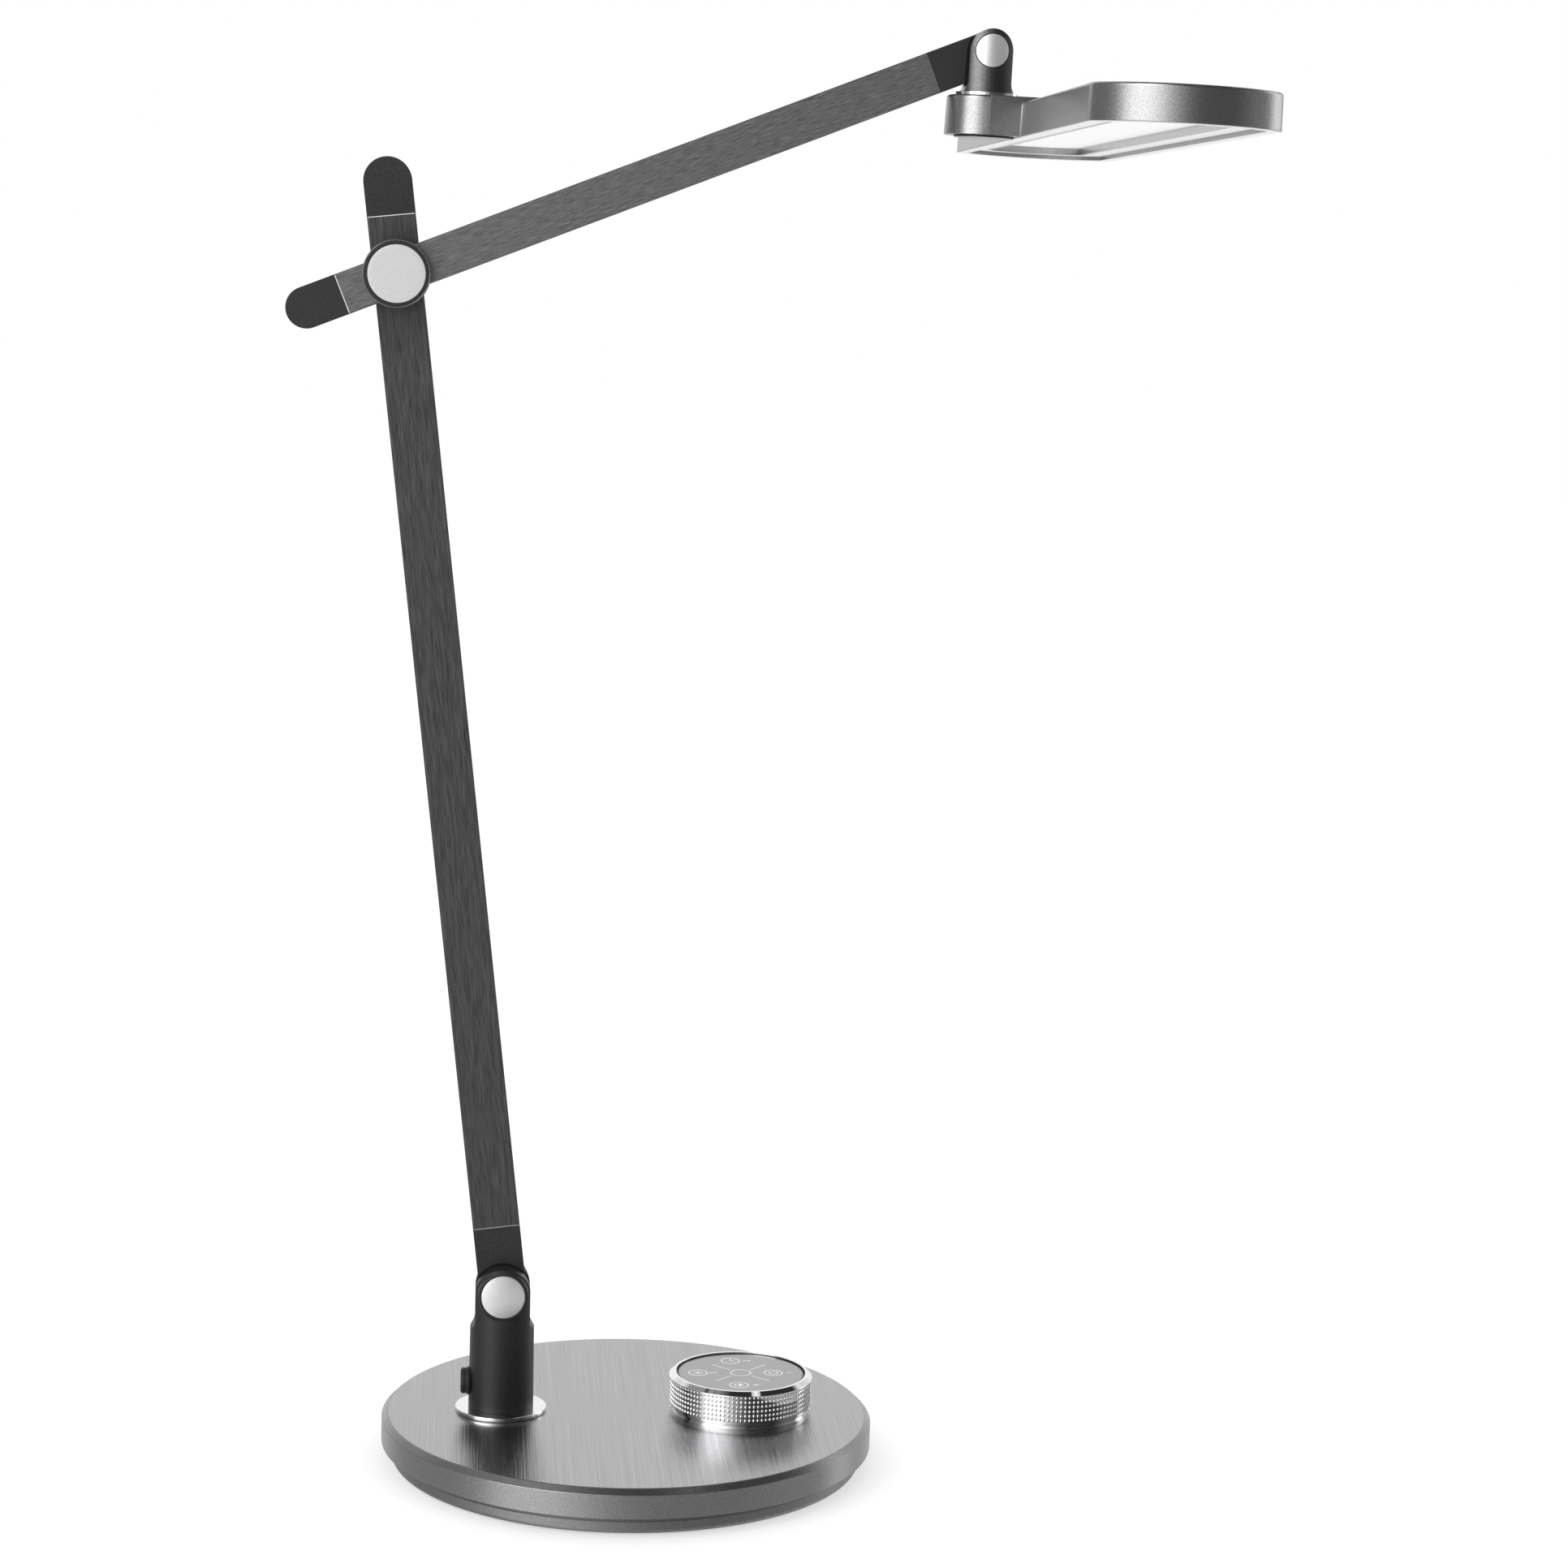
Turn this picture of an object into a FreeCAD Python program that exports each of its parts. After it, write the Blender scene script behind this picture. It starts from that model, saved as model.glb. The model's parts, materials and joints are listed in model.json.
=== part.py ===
import FreeCAD, Part
import math
import os
import Sketcher
from FreeCAD import Placement, Rotation, Vector

# A desk lamp on a round weighted base: a swivelling post, two flat arms and a flat edge-lit head.
# Origin: centre of the base on the table. +X runs from the post to the dial, +Z is up,
# and both arms lean in planes square to Y.

DIMENSIONS = {
    # round base
    "base_radius": 100.0,
    "base_height": 20.0,
    "bevel_width": 2.4,
    "bevel_height": 2.2,
    "plate_thickness": 1.0,
    "shell_top": 2.0,
    "shell_wall": 2.0,
    "tier_height": 8.3,
    "tier_step": 4.2,
    "tier_round": 2.0,
    "tray_floor": 2.2,
    "tray_wall": 2.8,
    "tray_lip": 2.0,
    "foot_rise": 0.8,
    "foot_inset": 0.8,
    "foot_margin": 3.8,
    "seat_gap": 0.1,
    "running_gap": 0.05,
    # closing screws of the base
    "screw_inset": 22.0,
    "screw_radius": 1.5,
    "screw_head_radius": 3.0,
    "screw_head_height": 1.8,
    "screw_length": 8.0,
    "screw_seat": 9.0,
    "column_radius": 5.0,
    "column_top": 11.9,
    # steel weight and control board
    "weight_gap": 0.4,
    "weight_headroom": 3.0,
    "weight_margin": 4.0,
    "board_pocket_floor": 8.0,
    "board_length": 56.0,
    "board_width": 40.0,
    "board_thickness": 1.6,
    "board_rise": 1.8,
    "board_margin": 3.0,
    "spacer_radius": 2.0,
    "driver_side": 10.0,
    "driver_height": 1.4,
    "choke_radius": 4.0,
    "choke_height": 3.0,
    "connector_width": 6.0,
    "connector_length": 12.0,
    "connector_height": 3.4,
    # dial
    "dial_inset": 53.5,
    "dial_radius": 29.4,
    "knurl_radius": 28.7,
    "dial_height": 16.0,
    "dial_chamfer": 1.8,
    "dial_chamfer_height": 1.5,
    "dial_collar": 0.4,
    "dial_lift": 0.3,
    "flange_radius": 28.8,
    "flange_foot": 0.9,
    "flange_step": 0.8,
    "flange_height": 2.0,
    "core_radius": 22.0,
    "core_bore": 14.0,
    "core_height": 12.0,
    "carrier_radius": 26.2,
    "ring_gap": 0.3,
    "glass_radius": 25.5,
    "glass_drop": 0.7,
    "glass_thickness": 1.2,
    "touch_board_radius": 24.3,
    "touch_board_thickness": 1.2,
    "magnet_inner": 23.5,
    "magnet_outer": 26.5,
    "magnet_height": 2.0,
    "dial_screw_circle": 18.0,
    "wire_hole": 11.0,
    # post with its swivel
    "post_inset": 48.4,
    "post_radius": 13.0,
    "post_foot_radius": 13.25,
    "pivot_rise": 50.6,
    "ear_radius": 11.1,
    "shoulder_low": 15.6,
    "shoulder_high": 12.2,
    "fork_depth": 10.2,
    "fork_slot": 7.2,
    "tilt_pin_radius": 4.0,
    "tilt_cap_radius": 8.9,
    "tilt_cap_seat": 11.4,
    "tilt_cap_face": 13.7,
    "tilt_cap_dome": 0.9,
    "ear_boss_radius": 10.2,
    "ear_boss_face": 13.1,
    "ear_round": 0.8,
    "post_washer_radius": 18.6,
    "post_washer_thickness": 1.8,
    "post_washer_round": 0.5,
    "spigot_radius": 6.0,
    "spigot_bore": 3.2,
    "spigot_proud": 2.0,
    "spigot_grip": 5.0,
    "wire_bore": 3.5,
    "bore_headroom": 2.0,
    "bush_radius": 9.0,
    "bush_flange": 12.0,
    "bush_flange_thickness": 2.5,
    "swivel_nut_height": 3.0,
    "swivel_nut_flats": 18.0,
    "swivel_spring_height": 2.0,
    "spring_metal": 0.6,
    "spring_lip": 1.0,
    "gland_rise": 12.0,
    "gland_radius": 5.2,
    "gland_stem": 4.0,
    "gland_reach": 3.3,
    "gland_round": 1.0,
    "gland_bite": 0.4,
    "gland_inner": 6.5,
    "gland_bore": 1.9,
    # lower arm
    "lower_length": 410.8,
    "lower_lean_angle": 6.74,
    "lower_width": 18.9,
    "bar_thickness": 8.0,
    "bar_chamfer": 0.6,
    "channel_width": 11.0,
    "channel_thickness": 3.6,
    "tongue_thickness": 6.0,
    "washer_thickness": 0.5,
    "lower_seam": 26.9,
    "shoulder_gap": 0.5,
    "lower_stub_seam": 22.5,
    "lower_stub": 45.2,
    "plug_length": 16.0,
    # elbow
    "elbow_bolt_radius": 5.0,
    "elbow_spacer_radius": 13.1,
    "elbow_spacing": 3.0,
    "elbow_knob_radius": 13.1,
    "elbow_knob_thickness": 5.0,
    "elbow_knob_chamfer": 0.9,
    "elbow_disc_radius": 11.2,
    "elbow_disc_inset": 1.2,
    "elbow_disc_proud": 0.3,
    "elbow_disc_dome": 0.5,
    "elbow_rear_radius": 11.0,
    "elbow_rear_thickness": 3.5,
    "elbow_rear_dome": 0.8,
    # upper arm
    "upper_length": 245.7,
    "upper_rise_angle": 21.96,
    "upper_width": 16.2,
    "upper_seam": 23.7,
    "bracket_dip_angle": 2.0,
    "upper_stub_seam": 22.5,
    "upper_stub": 45.3,
    # head bracket
    "head_droop_angle": 1.46,
    "bracket_width": 16.8,
    "bracket_depth": 20.0,
    "bracket_foot": 15.8,
    "bracket_foot_width": 20.2,
    "bracket_flare": 12.2,
    "bracket_slot_depth": 13.6,
    "bracket_corner": 13.2,
    "bracket_foot_corner": 10.8,
    "head_pin_radius": 3.0,
    "head_cap_radius": 6.3,
    "head_cap_seat": 1.5,
    "head_cap_proud": 1.0,
    "head_cap_dome": 0.6,
    "washer_inset": 0.4,
    "head_washer_radius": 12.5,
    "head_washer_thickness": 1.2,
    "stud_radius": 4.0,
    "stud_bore": 2.2,
    "stud_end": 27.0,
    "stud_nut_height": 2.6,
    "stud_nut_flats": 13.0,
    "stud_spring_height": 1.0,
    "stud_bush_radius": 6.0,
    # head
    "head_depth": 32.2,
    "panel_start": 12.1,
    "panel_width": 68.4,
    "panel_height": 13.2,
    "panel_corner": 169.0,
    "panel_peak": 190.0,
    "panel_corner_radius": 10.6,
    "panel_draft_angle": 1.2,
    "panel_edge_round": 1.2,
    "boss_radius": 15.3,
    "boss_flare": 0.4,
    "neck_end": 25.0,
    "boss_cavity": 12.0,
    "boss_roof": 3.0,
    "boss_cover_proud": 0.8,
    "boss_cover_radius": 11.4,
    "head_roof": 2.3,
    "rim_width": 4.5,
    "ledge_width": 2.0,
    "bezel_width": 8.4,
    "bezel_recess": 1.6,
    "bezel_thickness": 2.0,
    "gasket_width": 2.0,
    "gasket_flange": 0.8,
    "gasket_reach": 5.0,
    "window_corner_radius": 9.0,
    "diffuser_thickness": 1.6,
    "guide_thickness": 3.0,
    "reflector_thickness": 0.5,
    "strip_thickness": 1.0,
    "strip_length": 280.0,
    "strip_inset": 1.6,
    "led_size": 3.0,
    "led_depth": 1.0,
    "led_pitch": 14.0,
    "hook_width": 8.0,
    "hook_thickness": 1.2,
    "hook_height": 4.0,
    "wire_slot": 7.0,
    # how far a cutting tool runs past the surface that it cuts
    "cutter_overrun": 1.0,
}


# Sizes that carry their sheet formula

class Size:
    """A length or angle: its number now, and the sheet formula that keeps it up to date."""

    def __init__(self, number, formula):
        self.number = number
        self.formula = formula

    def __add__(self, other):
        other = as_size(other)
        return Size(self.number + other.number, "(%s + %s)" % (self.formula, other.formula))

    def __sub__(self, other):
        other = as_size(other)
        return Size(self.number - other.number, "(%s - %s)" % (self.formula, other.formula))

    def __mul__(self, other):
        other = as_size(other)
        return Size(self.number * other.number, "(%s * %s)" % (self.formula, other.formula))

    def __truediv__(self, other):
        other = as_size(other)
        return Size(self.number / other.number, "(%s / %s)" % (self.formula, other.formula))

    def __neg__(self):
        return Size(-self.number, "(0 - %s)" % self.formula)

    def __radd__(self, other):
        return as_size(other) + self

    def __rsub__(self, other):
        return as_size(other) - self

    def __rmul__(self, other):
        return as_size(other) * self


def as_size(amount):
    return amount if isinstance(amount, Size) else Size(float(amount), "%.6f" % amount)


def sine(angle):
    return Size(math.sin(math.radians(angle.number)), "sin(%s)" % angle.formula)


def cosine(angle):
    return Size(math.cos(math.radians(angle.number)), "cos(%s)" % angle.formula)


def root(amount):
    return Size(math.sqrt(amount.number), "sqrt(%s)" % amount.formula)


class Sheet:
    """The driving dimensions, each read as an attribute."""


doc = FreeCAD.newDocument("DeskLamp")
cells = doc.addObject("Spreadsheet::Sheet", "Sizes")
d = Sheet()
for row, (alias, amount) in enumerate(DIMENSIONS.items(), start=1):
    cells.set("A%d" % row, alias)
    cells.set("B%d" % row, str(amount))
    cells.setAlias("B%d" % row, alias)
    setattr(d, alias, Size(amount, "Sizes.%s" % alias))
doc.recompute()


# Building blocks

nodes = []
counter = {}


def fresh(name):
    counter[name] = counter.get(name, 0) + 1
    return "%s_%d" % (name, counter[name])


def bind(thing, path, amount):
    thing.setExpression(path, as_size(amount).formula)


def put(thing, at=(0, 0, 0), turn=None):
    """Places a thing at a point, turned by (axis, angle)."""
    if turn:
        axis, angle = turn
        thing.Placement = Placement(Vector(), Rotation(Vector(*axis), as_size(angle).number))
        if isinstance(angle, Size):
            bind(thing, "Placement.Rotation.Angle", angle)
    for letter, amount in zip("xyz", at):
        bind(thing, "Placement.Base." + letter, amount)
    return thing


ALONG = {"X": ((0, 1, 0), 90), "Y": ((1, 0, 0), -90), "-Y": ((1, 0, 0), 90), "-X": ((0, 1, 0), -90), "Z": None}


def rod(radius, length, at=(0, 0, 0), along="Z", name="rod"):
    cylinder = doc.addObject("Part::Cylinder", fresh(name))
    bind(cylinder, "Radius", radius)
    bind(cylinder, "Height", length)
    return put(cylinder, at, ALONG[along])


def block(low, size, name="block"):
    box = doc.addObject("Part::Box", fresh(name))
    for side, amount in zip(("Length", "Width", "Height"), size):
        bind(box, side, amount)
    return put(box, low)


def centred_block(x, y, low_z, size, name="block"):
    return block((x - size[0] / 2, y - size[1] / 2, low_z), size, name)


def fuse(*pieces):
    joined = doc.addObject("Part::MultiFuse", fresh("fuse"))
    joined.Shapes = list(pieces)
    return joined


def group(*pieces):
    together = doc.addObject("Part::Compound", fresh("set"))
    together.Links = list(pieces)
    return together


def cut(base, *tools):
    result = doc.addObject("Part::Cut", fresh("cut"))
    result.Base = base
    result.Tool = tools[0] if len(tools) == 1 else fuse(*tools)
    return result


def common(*pieces):
    shared = doc.addObject("Part::MultiCommon", fresh("common"))
    shared.Shapes = list(pieces)
    return shared


def tube(outer, inner, length, at=(0, 0, 0), along="Z"):
    return cut(rod(outer, length, at, along), rod(inner, length, at, along))


def prism(flats, height, at=(0, 0, 0)):
    """A hexagon nut blank."""
    nut = doc.addObject("Part::Prism", fresh("hexagon"))
    nut.Polygon = 6
    bind(nut, "Circumradius", flats / math.sqrt(3))
    bind(nut, "Height", height)
    return put(nut, at)


def plane_of(body, role):
    return [feature for feature in body.Origin.OriginFeatures if feature.Role == role][0]


def new_sketch(body, role, offset=0):
    sketch = body.newObject("Sketcher::SketchObject", fresh("sketch"))
    sketch.AttachmentSupport = (plane_of(body, role), [""])
    sketch.MapMode = "FlatFace"
    if isinstance(offset, Size):
        bind(sketch, "AttachmentOffset.Base.z", offset)
    return sketch


def pin_point(sketch, geometry, point, at, only=None):
    """Ties a point of the sketch to its distances from the origin."""
    for kind, amount in (("DistanceX", at[0]), ("DistanceY", at[1])):
        if only and kind != only:
            continue
        number = as_size(amount).number
        index = sketch.addConstraint(Sketcher.Constraint(kind, -1, 1, geometry, point, number))
        if isinstance(amount, Size):
            sketch.setExpression("Constraints[%d]" % index, amount.formula)


def draw(sketch, points):
    """Draws a closed outline. A point is (x, y), reached by a line, or (x, y, cx, cy, turn),
    reached by an arc about (cx, cy) that turns "left" or "right"."""
    numbers = [(as_size(p[0]).number, as_size(p[1]).number) for p in points]
    edges = []
    for i, point in enumerate(points):
        start = Vector(*numbers[i - 1], 0)
        end = Vector(*numbers[i], 0)
        if len(point) == 2:
            index = sketch.addGeometry(Part.LineSegment(start, end), False)
            edges.append((index, 1, 2))
            continue
        centre = Vector(as_size(point[2]).number, as_size(point[3]).number, 0)
        circle = Part.Circle(centre, Vector(0, 0, 1), (start - centre).Length)
        first, last = (start, end) if point[4] == "left" else (end, start)
        angles = [math.atan2(p.y - centre.y, p.x - centre.x) for p in (first, last)]
        if angles[1] <= angles[0]:
            angles[1] += 2 * math.pi
        index = sketch.addGeometry(Part.ArcOfCircle(circle, *angles), False)
        edges.append((index, 1, 2) if point[4] == "left" else (index, 2, 1))
        chord = end - start
        upright = abs(chord.x) > abs(chord.y)
        pin_point(sketch, index, 3, (point[2], point[3]), "DistanceY" if upright else "DistanceX")
    for i, (index, _, tail) in enumerate(edges):
        following = edges[(i + 1) % len(edges)]
        sketch.addConstraint(Sketcher.Constraint("Coincident", index, tail, following[0], following[1]))
        pin_point(sketch, index, tail, points[i][:2])
    return sketch


def turned(points, name="turned"):
    """A piece turned about Z from its half section, points (radius, z)."""
    body = doc.addObject("PartDesign::Body", fresh(name))
    sketch = draw(new_sketch(body, "XZ_Plane"), points)
    revolution = body.newObject("PartDesign::Revolution", fresh("revolution"))
    revolution.Profile = sketch
    revolution.ReferenceAxis = (sketch, ["V_Axis"])
    revolution.Angle = 360
    return body


def padded(role, points, length, offset=0, centred=False, taper=None, name="padded"):
    """An outline on one of the origin planes, extruded along that plane's normal."""
    body = doc.addObject("PartDesign::Body", fresh(name))
    sketch = draw(new_sketch(body, role, offset), points)
    pad = body.newObject("PartDesign::Pad", fresh("pad"))
    pad.Profile = sketch
    pad.Midplane = centred
    bind(pad, "Length", length)
    if taper is not None:
        bind(pad, "TaperAngle", taper)
    return body


def rounded(piece, radius, chosen, name="rounded"):
    """Rounds the edges for which chosen(edge) is true."""
    doc.recompute()
    fillet = doc.addObject("Part::Fillet", fresh(name))
    fillet.Base = piece
    number = as_size(radius).number
    fillet.Edges = [(i, number, number) for i, edge in enumerate(piece.Shape.Edges, start=1) if chosen(edge)]
    return fillet


def node(piece, label, frame=None):
    """Names a finished piece, and stands it in its arm's frame."""
    piece.Label = label
    if frame:
        put(piece, frame[0], frame[1])
    nodes.append(piece)
    return piece


# Frames of the moving bodies: the point and turn that each is drawn in

TOP = d.base_height
POST_X = d.post_inset - d.base_radius
DIAL_X = d.base_radius - d.dial_inset
PIVOT_Z = TOP + d.pivot_rise
UPPER_Y = -(d.bar_thickness + d.elbow_spacing)
ELBOW_X = POST_X - d.lower_length * sine(d.lower_lean_angle)
ELBOW_Z = PIVOT_Z + d.lower_length * cosine(d.lower_lean_angle)
HEAD_X = ELBOW_X + d.upper_length * cosine(d.upper_rise_angle)
HEAD_Z = ELBOW_Z + d.upper_length * sine(d.upper_rise_angle)

AT_POST = ((POST_X, 0, 0), None)
AT_DIAL = ((DIAL_X, 0, 0), None)
AT_LOWER = ((POST_X, 0, PIVOT_Z), ((0, -1, 0), d.lower_lean_angle))
AT_UPPER = ((ELBOW_X, UPPER_Y, ELBOW_Z), ((0, -1, 0), d.upper_rise_angle))
AT_HEAD = ((HEAD_X, UPPER_Y, HEAD_Z), ((0, 1, 0), d.head_droop_angle))


# Round base

SHELL_UNDER = TOP - d.plate_thickness - d.shell_top
TRAY_TOP = d.foot_rise + d.tray_floor
TIER_RADIUS = d.base_radius - d.tier_step
FOOT_RADIUS = TIER_RADIUS - d.foot_margin
SCREW_CIRCLE = d.base_radius - d.screw_inset
WEIGHT_TOP = SHELL_UNDER - d.weight_headroom
BUSH_FOOT = SHELL_UNDER - d.bush_flange_thickness
SCREW_SPOTS = [
    (SCREW_CIRCLE * math.cos(math.radians(45 + 90 * i)), SCREW_CIRCLE * math.sin(math.radians(45 + 90 * i)))
    for i in range(4)
]
DIAL_SCREW_SPOTS = [
    (DIAL_X + d.dial_screw_circle * math.cos(math.radians(90 + 120 * i)),
     d.dial_screw_circle * math.sin(math.radians(90 + 120 * i)))
    for i in range(3)
]


def at_spots(spots, radius, low, high):
    return [rod(radius, high - low, (x, y, low)) for x, y in spots]


def make_tray():
    lip = d.base_radius - d.shell_wall - d.seat_gap
    inside = TIER_RADIUS - d.tray_wall
    dish = turned([
        (0, d.foot_rise),
        (TIER_RADIUS - d.tier_round, d.foot_rise),
        (TIER_RADIUS, d.foot_rise + d.tier_round,
         TIER_RADIUS - d.tier_round, d.foot_rise + d.tier_round, "left"),
        (TIER_RADIUS, d.tier_height),
        (lip, d.tier_height),
        (lip, d.tier_height + d.tray_lip),
        (inside, d.tier_height + d.tray_lip),
        (inside, TRAY_TOP),
        (0, TRAY_TOP),
    ])
    recess = rod(FOOT_RADIUS, d.foot_inset, (0, 0, d.foot_rise))
    columns = at_spots(SCREW_SPOTS, d.column_radius, TRAY_TOP, d.column_top)
    shanks = at_spots(SCREW_SPOTS, d.screw_radius + d.seat_gap, d.foot_rise, d.column_top)
    sinks = at_spots(SCREW_SPOTS, d.screw_head_radius + d.seat_gap, d.foot_rise, d.screw_seat)
    node(cut(fuse(dish, *columns), recess, *shanks, *sinks), "base_tray")


def make_foot_pad():
    node(rod(FOOT_RADIUS - d.seat_gap, d.foot_rise + d.foot_inset), "foot_pad")


def make_shell():
    inside = d.base_radius - d.shell_wall
    recess = d.base_radius - d.bevel_width
    skin = turned([
        (0, SHELL_UNDER),
        (inside, SHELL_UNDER),
        (inside, d.tier_height),
        (d.base_radius, d.tier_height),
        (d.base_radius, TOP - d.bevel_height),
        (recess, TOP),
        (recess, TOP - d.plate_thickness),
        (0, TOP - d.plate_thickness),
    ])
    posts = at_spots(SCREW_SPOTS, d.column_radius, d.column_top, SHELL_UNDER)
    threads = at_spots(SCREW_SPOTS, d.screw_radius, d.column_top, d.screw_seat + d.screw_length)
    holes = at_spots(DIAL_SCREW_SPOTS, d.screw_radius + d.seat_gap, SHELL_UNDER, TOP)
    swivel = rod(d.bush_radius, TOP, (POST_X, 0, 0))
    wires = rod(d.wire_hole, TOP, (DIAL_X, 0, 0))
    node(cut(fuse(skin, *posts), swivel, wires, *threads, *holes), "base_shell")


def make_top_plate():
    low = TOP - d.plate_thickness
    disc = rod(d.base_radius - d.bevel_width - d.running_gap, d.plate_thickness, (0, 0, low))
    swivel = rod(d.bush_radius, d.plate_thickness, (POST_X, 0, low))
    wires = rod(d.wire_hole, d.plate_thickness, (DIAL_X, 0, low))
    holes = at_spots(DIAL_SCREW_SPOTS, d.screw_radius + d.seat_gap, low, TOP)
    node(cut(disc, swivel, wires, *holes), "base_top_plate")


def make_weight():
    height = WEIGHT_TOP - TRAY_TOP
    disc = rod(TIER_RADIUS - d.tray_wall - d.weight_gap, height, (0, 0, TRAY_TOP))
    swivel = rod(d.bush_flange + d.weight_margin, height, (POST_X, 0, TRAY_TOP))
    pocket = centred_block(DIAL_X, 0, d.board_pocket_floor, (
        d.board_length + d.board_margin, d.board_width + d.board_margin, WEIGHT_TOP - d.board_pocket_floor))
    columns = at_spots(SCREW_SPOTS, d.column_radius + d.seat_gap, TRAY_TOP, WEIGHT_TOP)
    heads = at_spots(DIAL_SCREW_SPOTS, d.screw_head_radius + d.seat_gap, d.board_pocket_floor, WEIGHT_TOP)
    node(cut(disc, swivel, pocket, *columns, *heads), "steel_weight")


def screw(x, y, seat, length):
    """A pan head below the seat, and a shank above it."""
    shank = rod(d.screw_radius, length, (x, y, seat))
    head = rod(d.screw_head_radius, d.screw_head_height, (x, y, seat - d.screw_head_height))
    return fuse(head, shank)


def make_screws():
    closing = [screw(x, y, d.screw_seat, d.screw_length - d.seat_gap) for x, y in SCREW_SPOTS]
    node(group(*closing), "base_screws")
    length = TOP + d.core_height / 2 - SHELL_UNDER
    node(group(*[screw(x, y, SHELL_UNDER, length) for x, y in DIAL_SCREW_SPOTS]), "dial_screws")


def make_control_board():
    low = d.board_pocket_floor + d.board_rise
    sheet = centred_block(DIAL_X, 0, low, (d.board_length, d.board_width, d.board_thickness))
    face = low + d.board_thickness
    driver = centred_block(DIAL_X + d.board_length / 4, 0, face, (d.driver_side, d.driver_side, d.driver_height))
    choke = rod(d.choke_radius, d.choke_height, (DIAL_X - d.board_length / 4, d.board_width / 4, face))
    connector = centred_block(DIAL_X - d.board_length / 3, -d.board_width / 4, face,
                              (d.connector_width, d.connector_length, d.connector_height))
    node(fuse(sheet, driver, choke, connector), "control_board")
    spots = [(DIAL_X + sx * (d.board_length / 2 - d.board_margin), sy * (d.board_width / 2 - d.board_margin))
             for sx in (-1, 1) for sy in (-1, 1)]
    node(group(*at_spots(spots, d.spacer_radius, d.board_pocket_floor, low)), "board_spacers")


# Dial: a fixed core with the touch glass, and a ring that turns round it

CORE_TOP = TOP + d.core_height
GLASS_LOW = TOP + d.dial_height - d.glass_drop - d.glass_thickness


def make_dial():
    core = turned([
        (d.core_bore, TOP),
        (d.flange_radius, TOP),
        (d.flange_radius, TOP + d.flange_foot),
        (d.flange_radius - d.flange_step, TOP + d.flange_foot),
        (d.flange_radius - d.flange_step, TOP + d.flange_height),
        (d.core_radius, TOP + d.flange_height),
        (d.core_radius, CORE_TOP),
        (d.core_bore, CORE_TOP),
    ])
    threads = [rod(d.screw_radius, d.core_height / 2, (x - DIAL_X, y, TOP)) for x, y in DIAL_SCREW_SPOTS]
    node(cut(core, *threads), "dial_core", AT_DIAL)

    seat = d.glass_radius + d.seat_gap
    board_seat = GLASS_LOW - d.touch_board_thickness
    node(turned([
        (d.wire_hole, CORE_TOP),
        (d.carrier_radius, CORE_TOP),
        (d.carrier_radius, GLASS_LOW + d.glass_thickness),
        (seat, GLASS_LOW + d.glass_thickness),
        (seat, GLASS_LOW),
        (d.touch_board_radius + d.seat_gap, GLASS_LOW),
        (d.touch_board_radius + d.seat_gap, board_seat),
        (d.wire_hole, board_seat),
    ]), "glass_carrier", AT_DIAL)
    node(rod(d.touch_board_radius, d.touch_board_thickness, (0, 0, board_seat)), "touch_board",
         ((DIAL_X, 0, board_seat), None))
    node(rod(d.glass_radius, d.glass_thickness), "touch_glass", ((DIAL_X, 0, GLASS_LOW), None))

    low = TOP + d.flange_height + d.dial_lift
    high = TOP + d.dial_height
    inner = d.core_radius + d.running_gap
    mouth = d.carrier_radius + d.ring_gap
    step = CORE_TOP - d.ring_gap
    collar = high - d.dial_chamfer_height
    node(turned([
        (inner, low),
        (d.magnet_inner, low),
        (d.magnet_inner, low + d.magnet_height),
        (d.magnet_outer, low + d.magnet_height),
        (d.magnet_outer, low),
        (d.knurl_radius, low),
        (d.knurl_radius, collar - d.dial_collar),
        (d.dial_radius, collar - d.dial_collar),
        (d.dial_radius, collar),
        (d.dial_radius - d.dial_chamfer, high),
        (mouth, high),
        (mouth, step),
        (inner, step),
    ]), "dial_ring", AT_DIAL)
    magnet = tube(d.magnet_outer, d.magnet_inner, d.magnet_height, (0, 0, low))
    node(magnet, "dial_magnet", AT_DIAL)


# Post: turned, forked at the top and hollow for the lead

WASHER_TOP = TOP + d.post_washer_thickness
POST_BORE_TOP = TOP + d.gland_rise + d.gland_stem + d.bore_headroom


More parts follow.
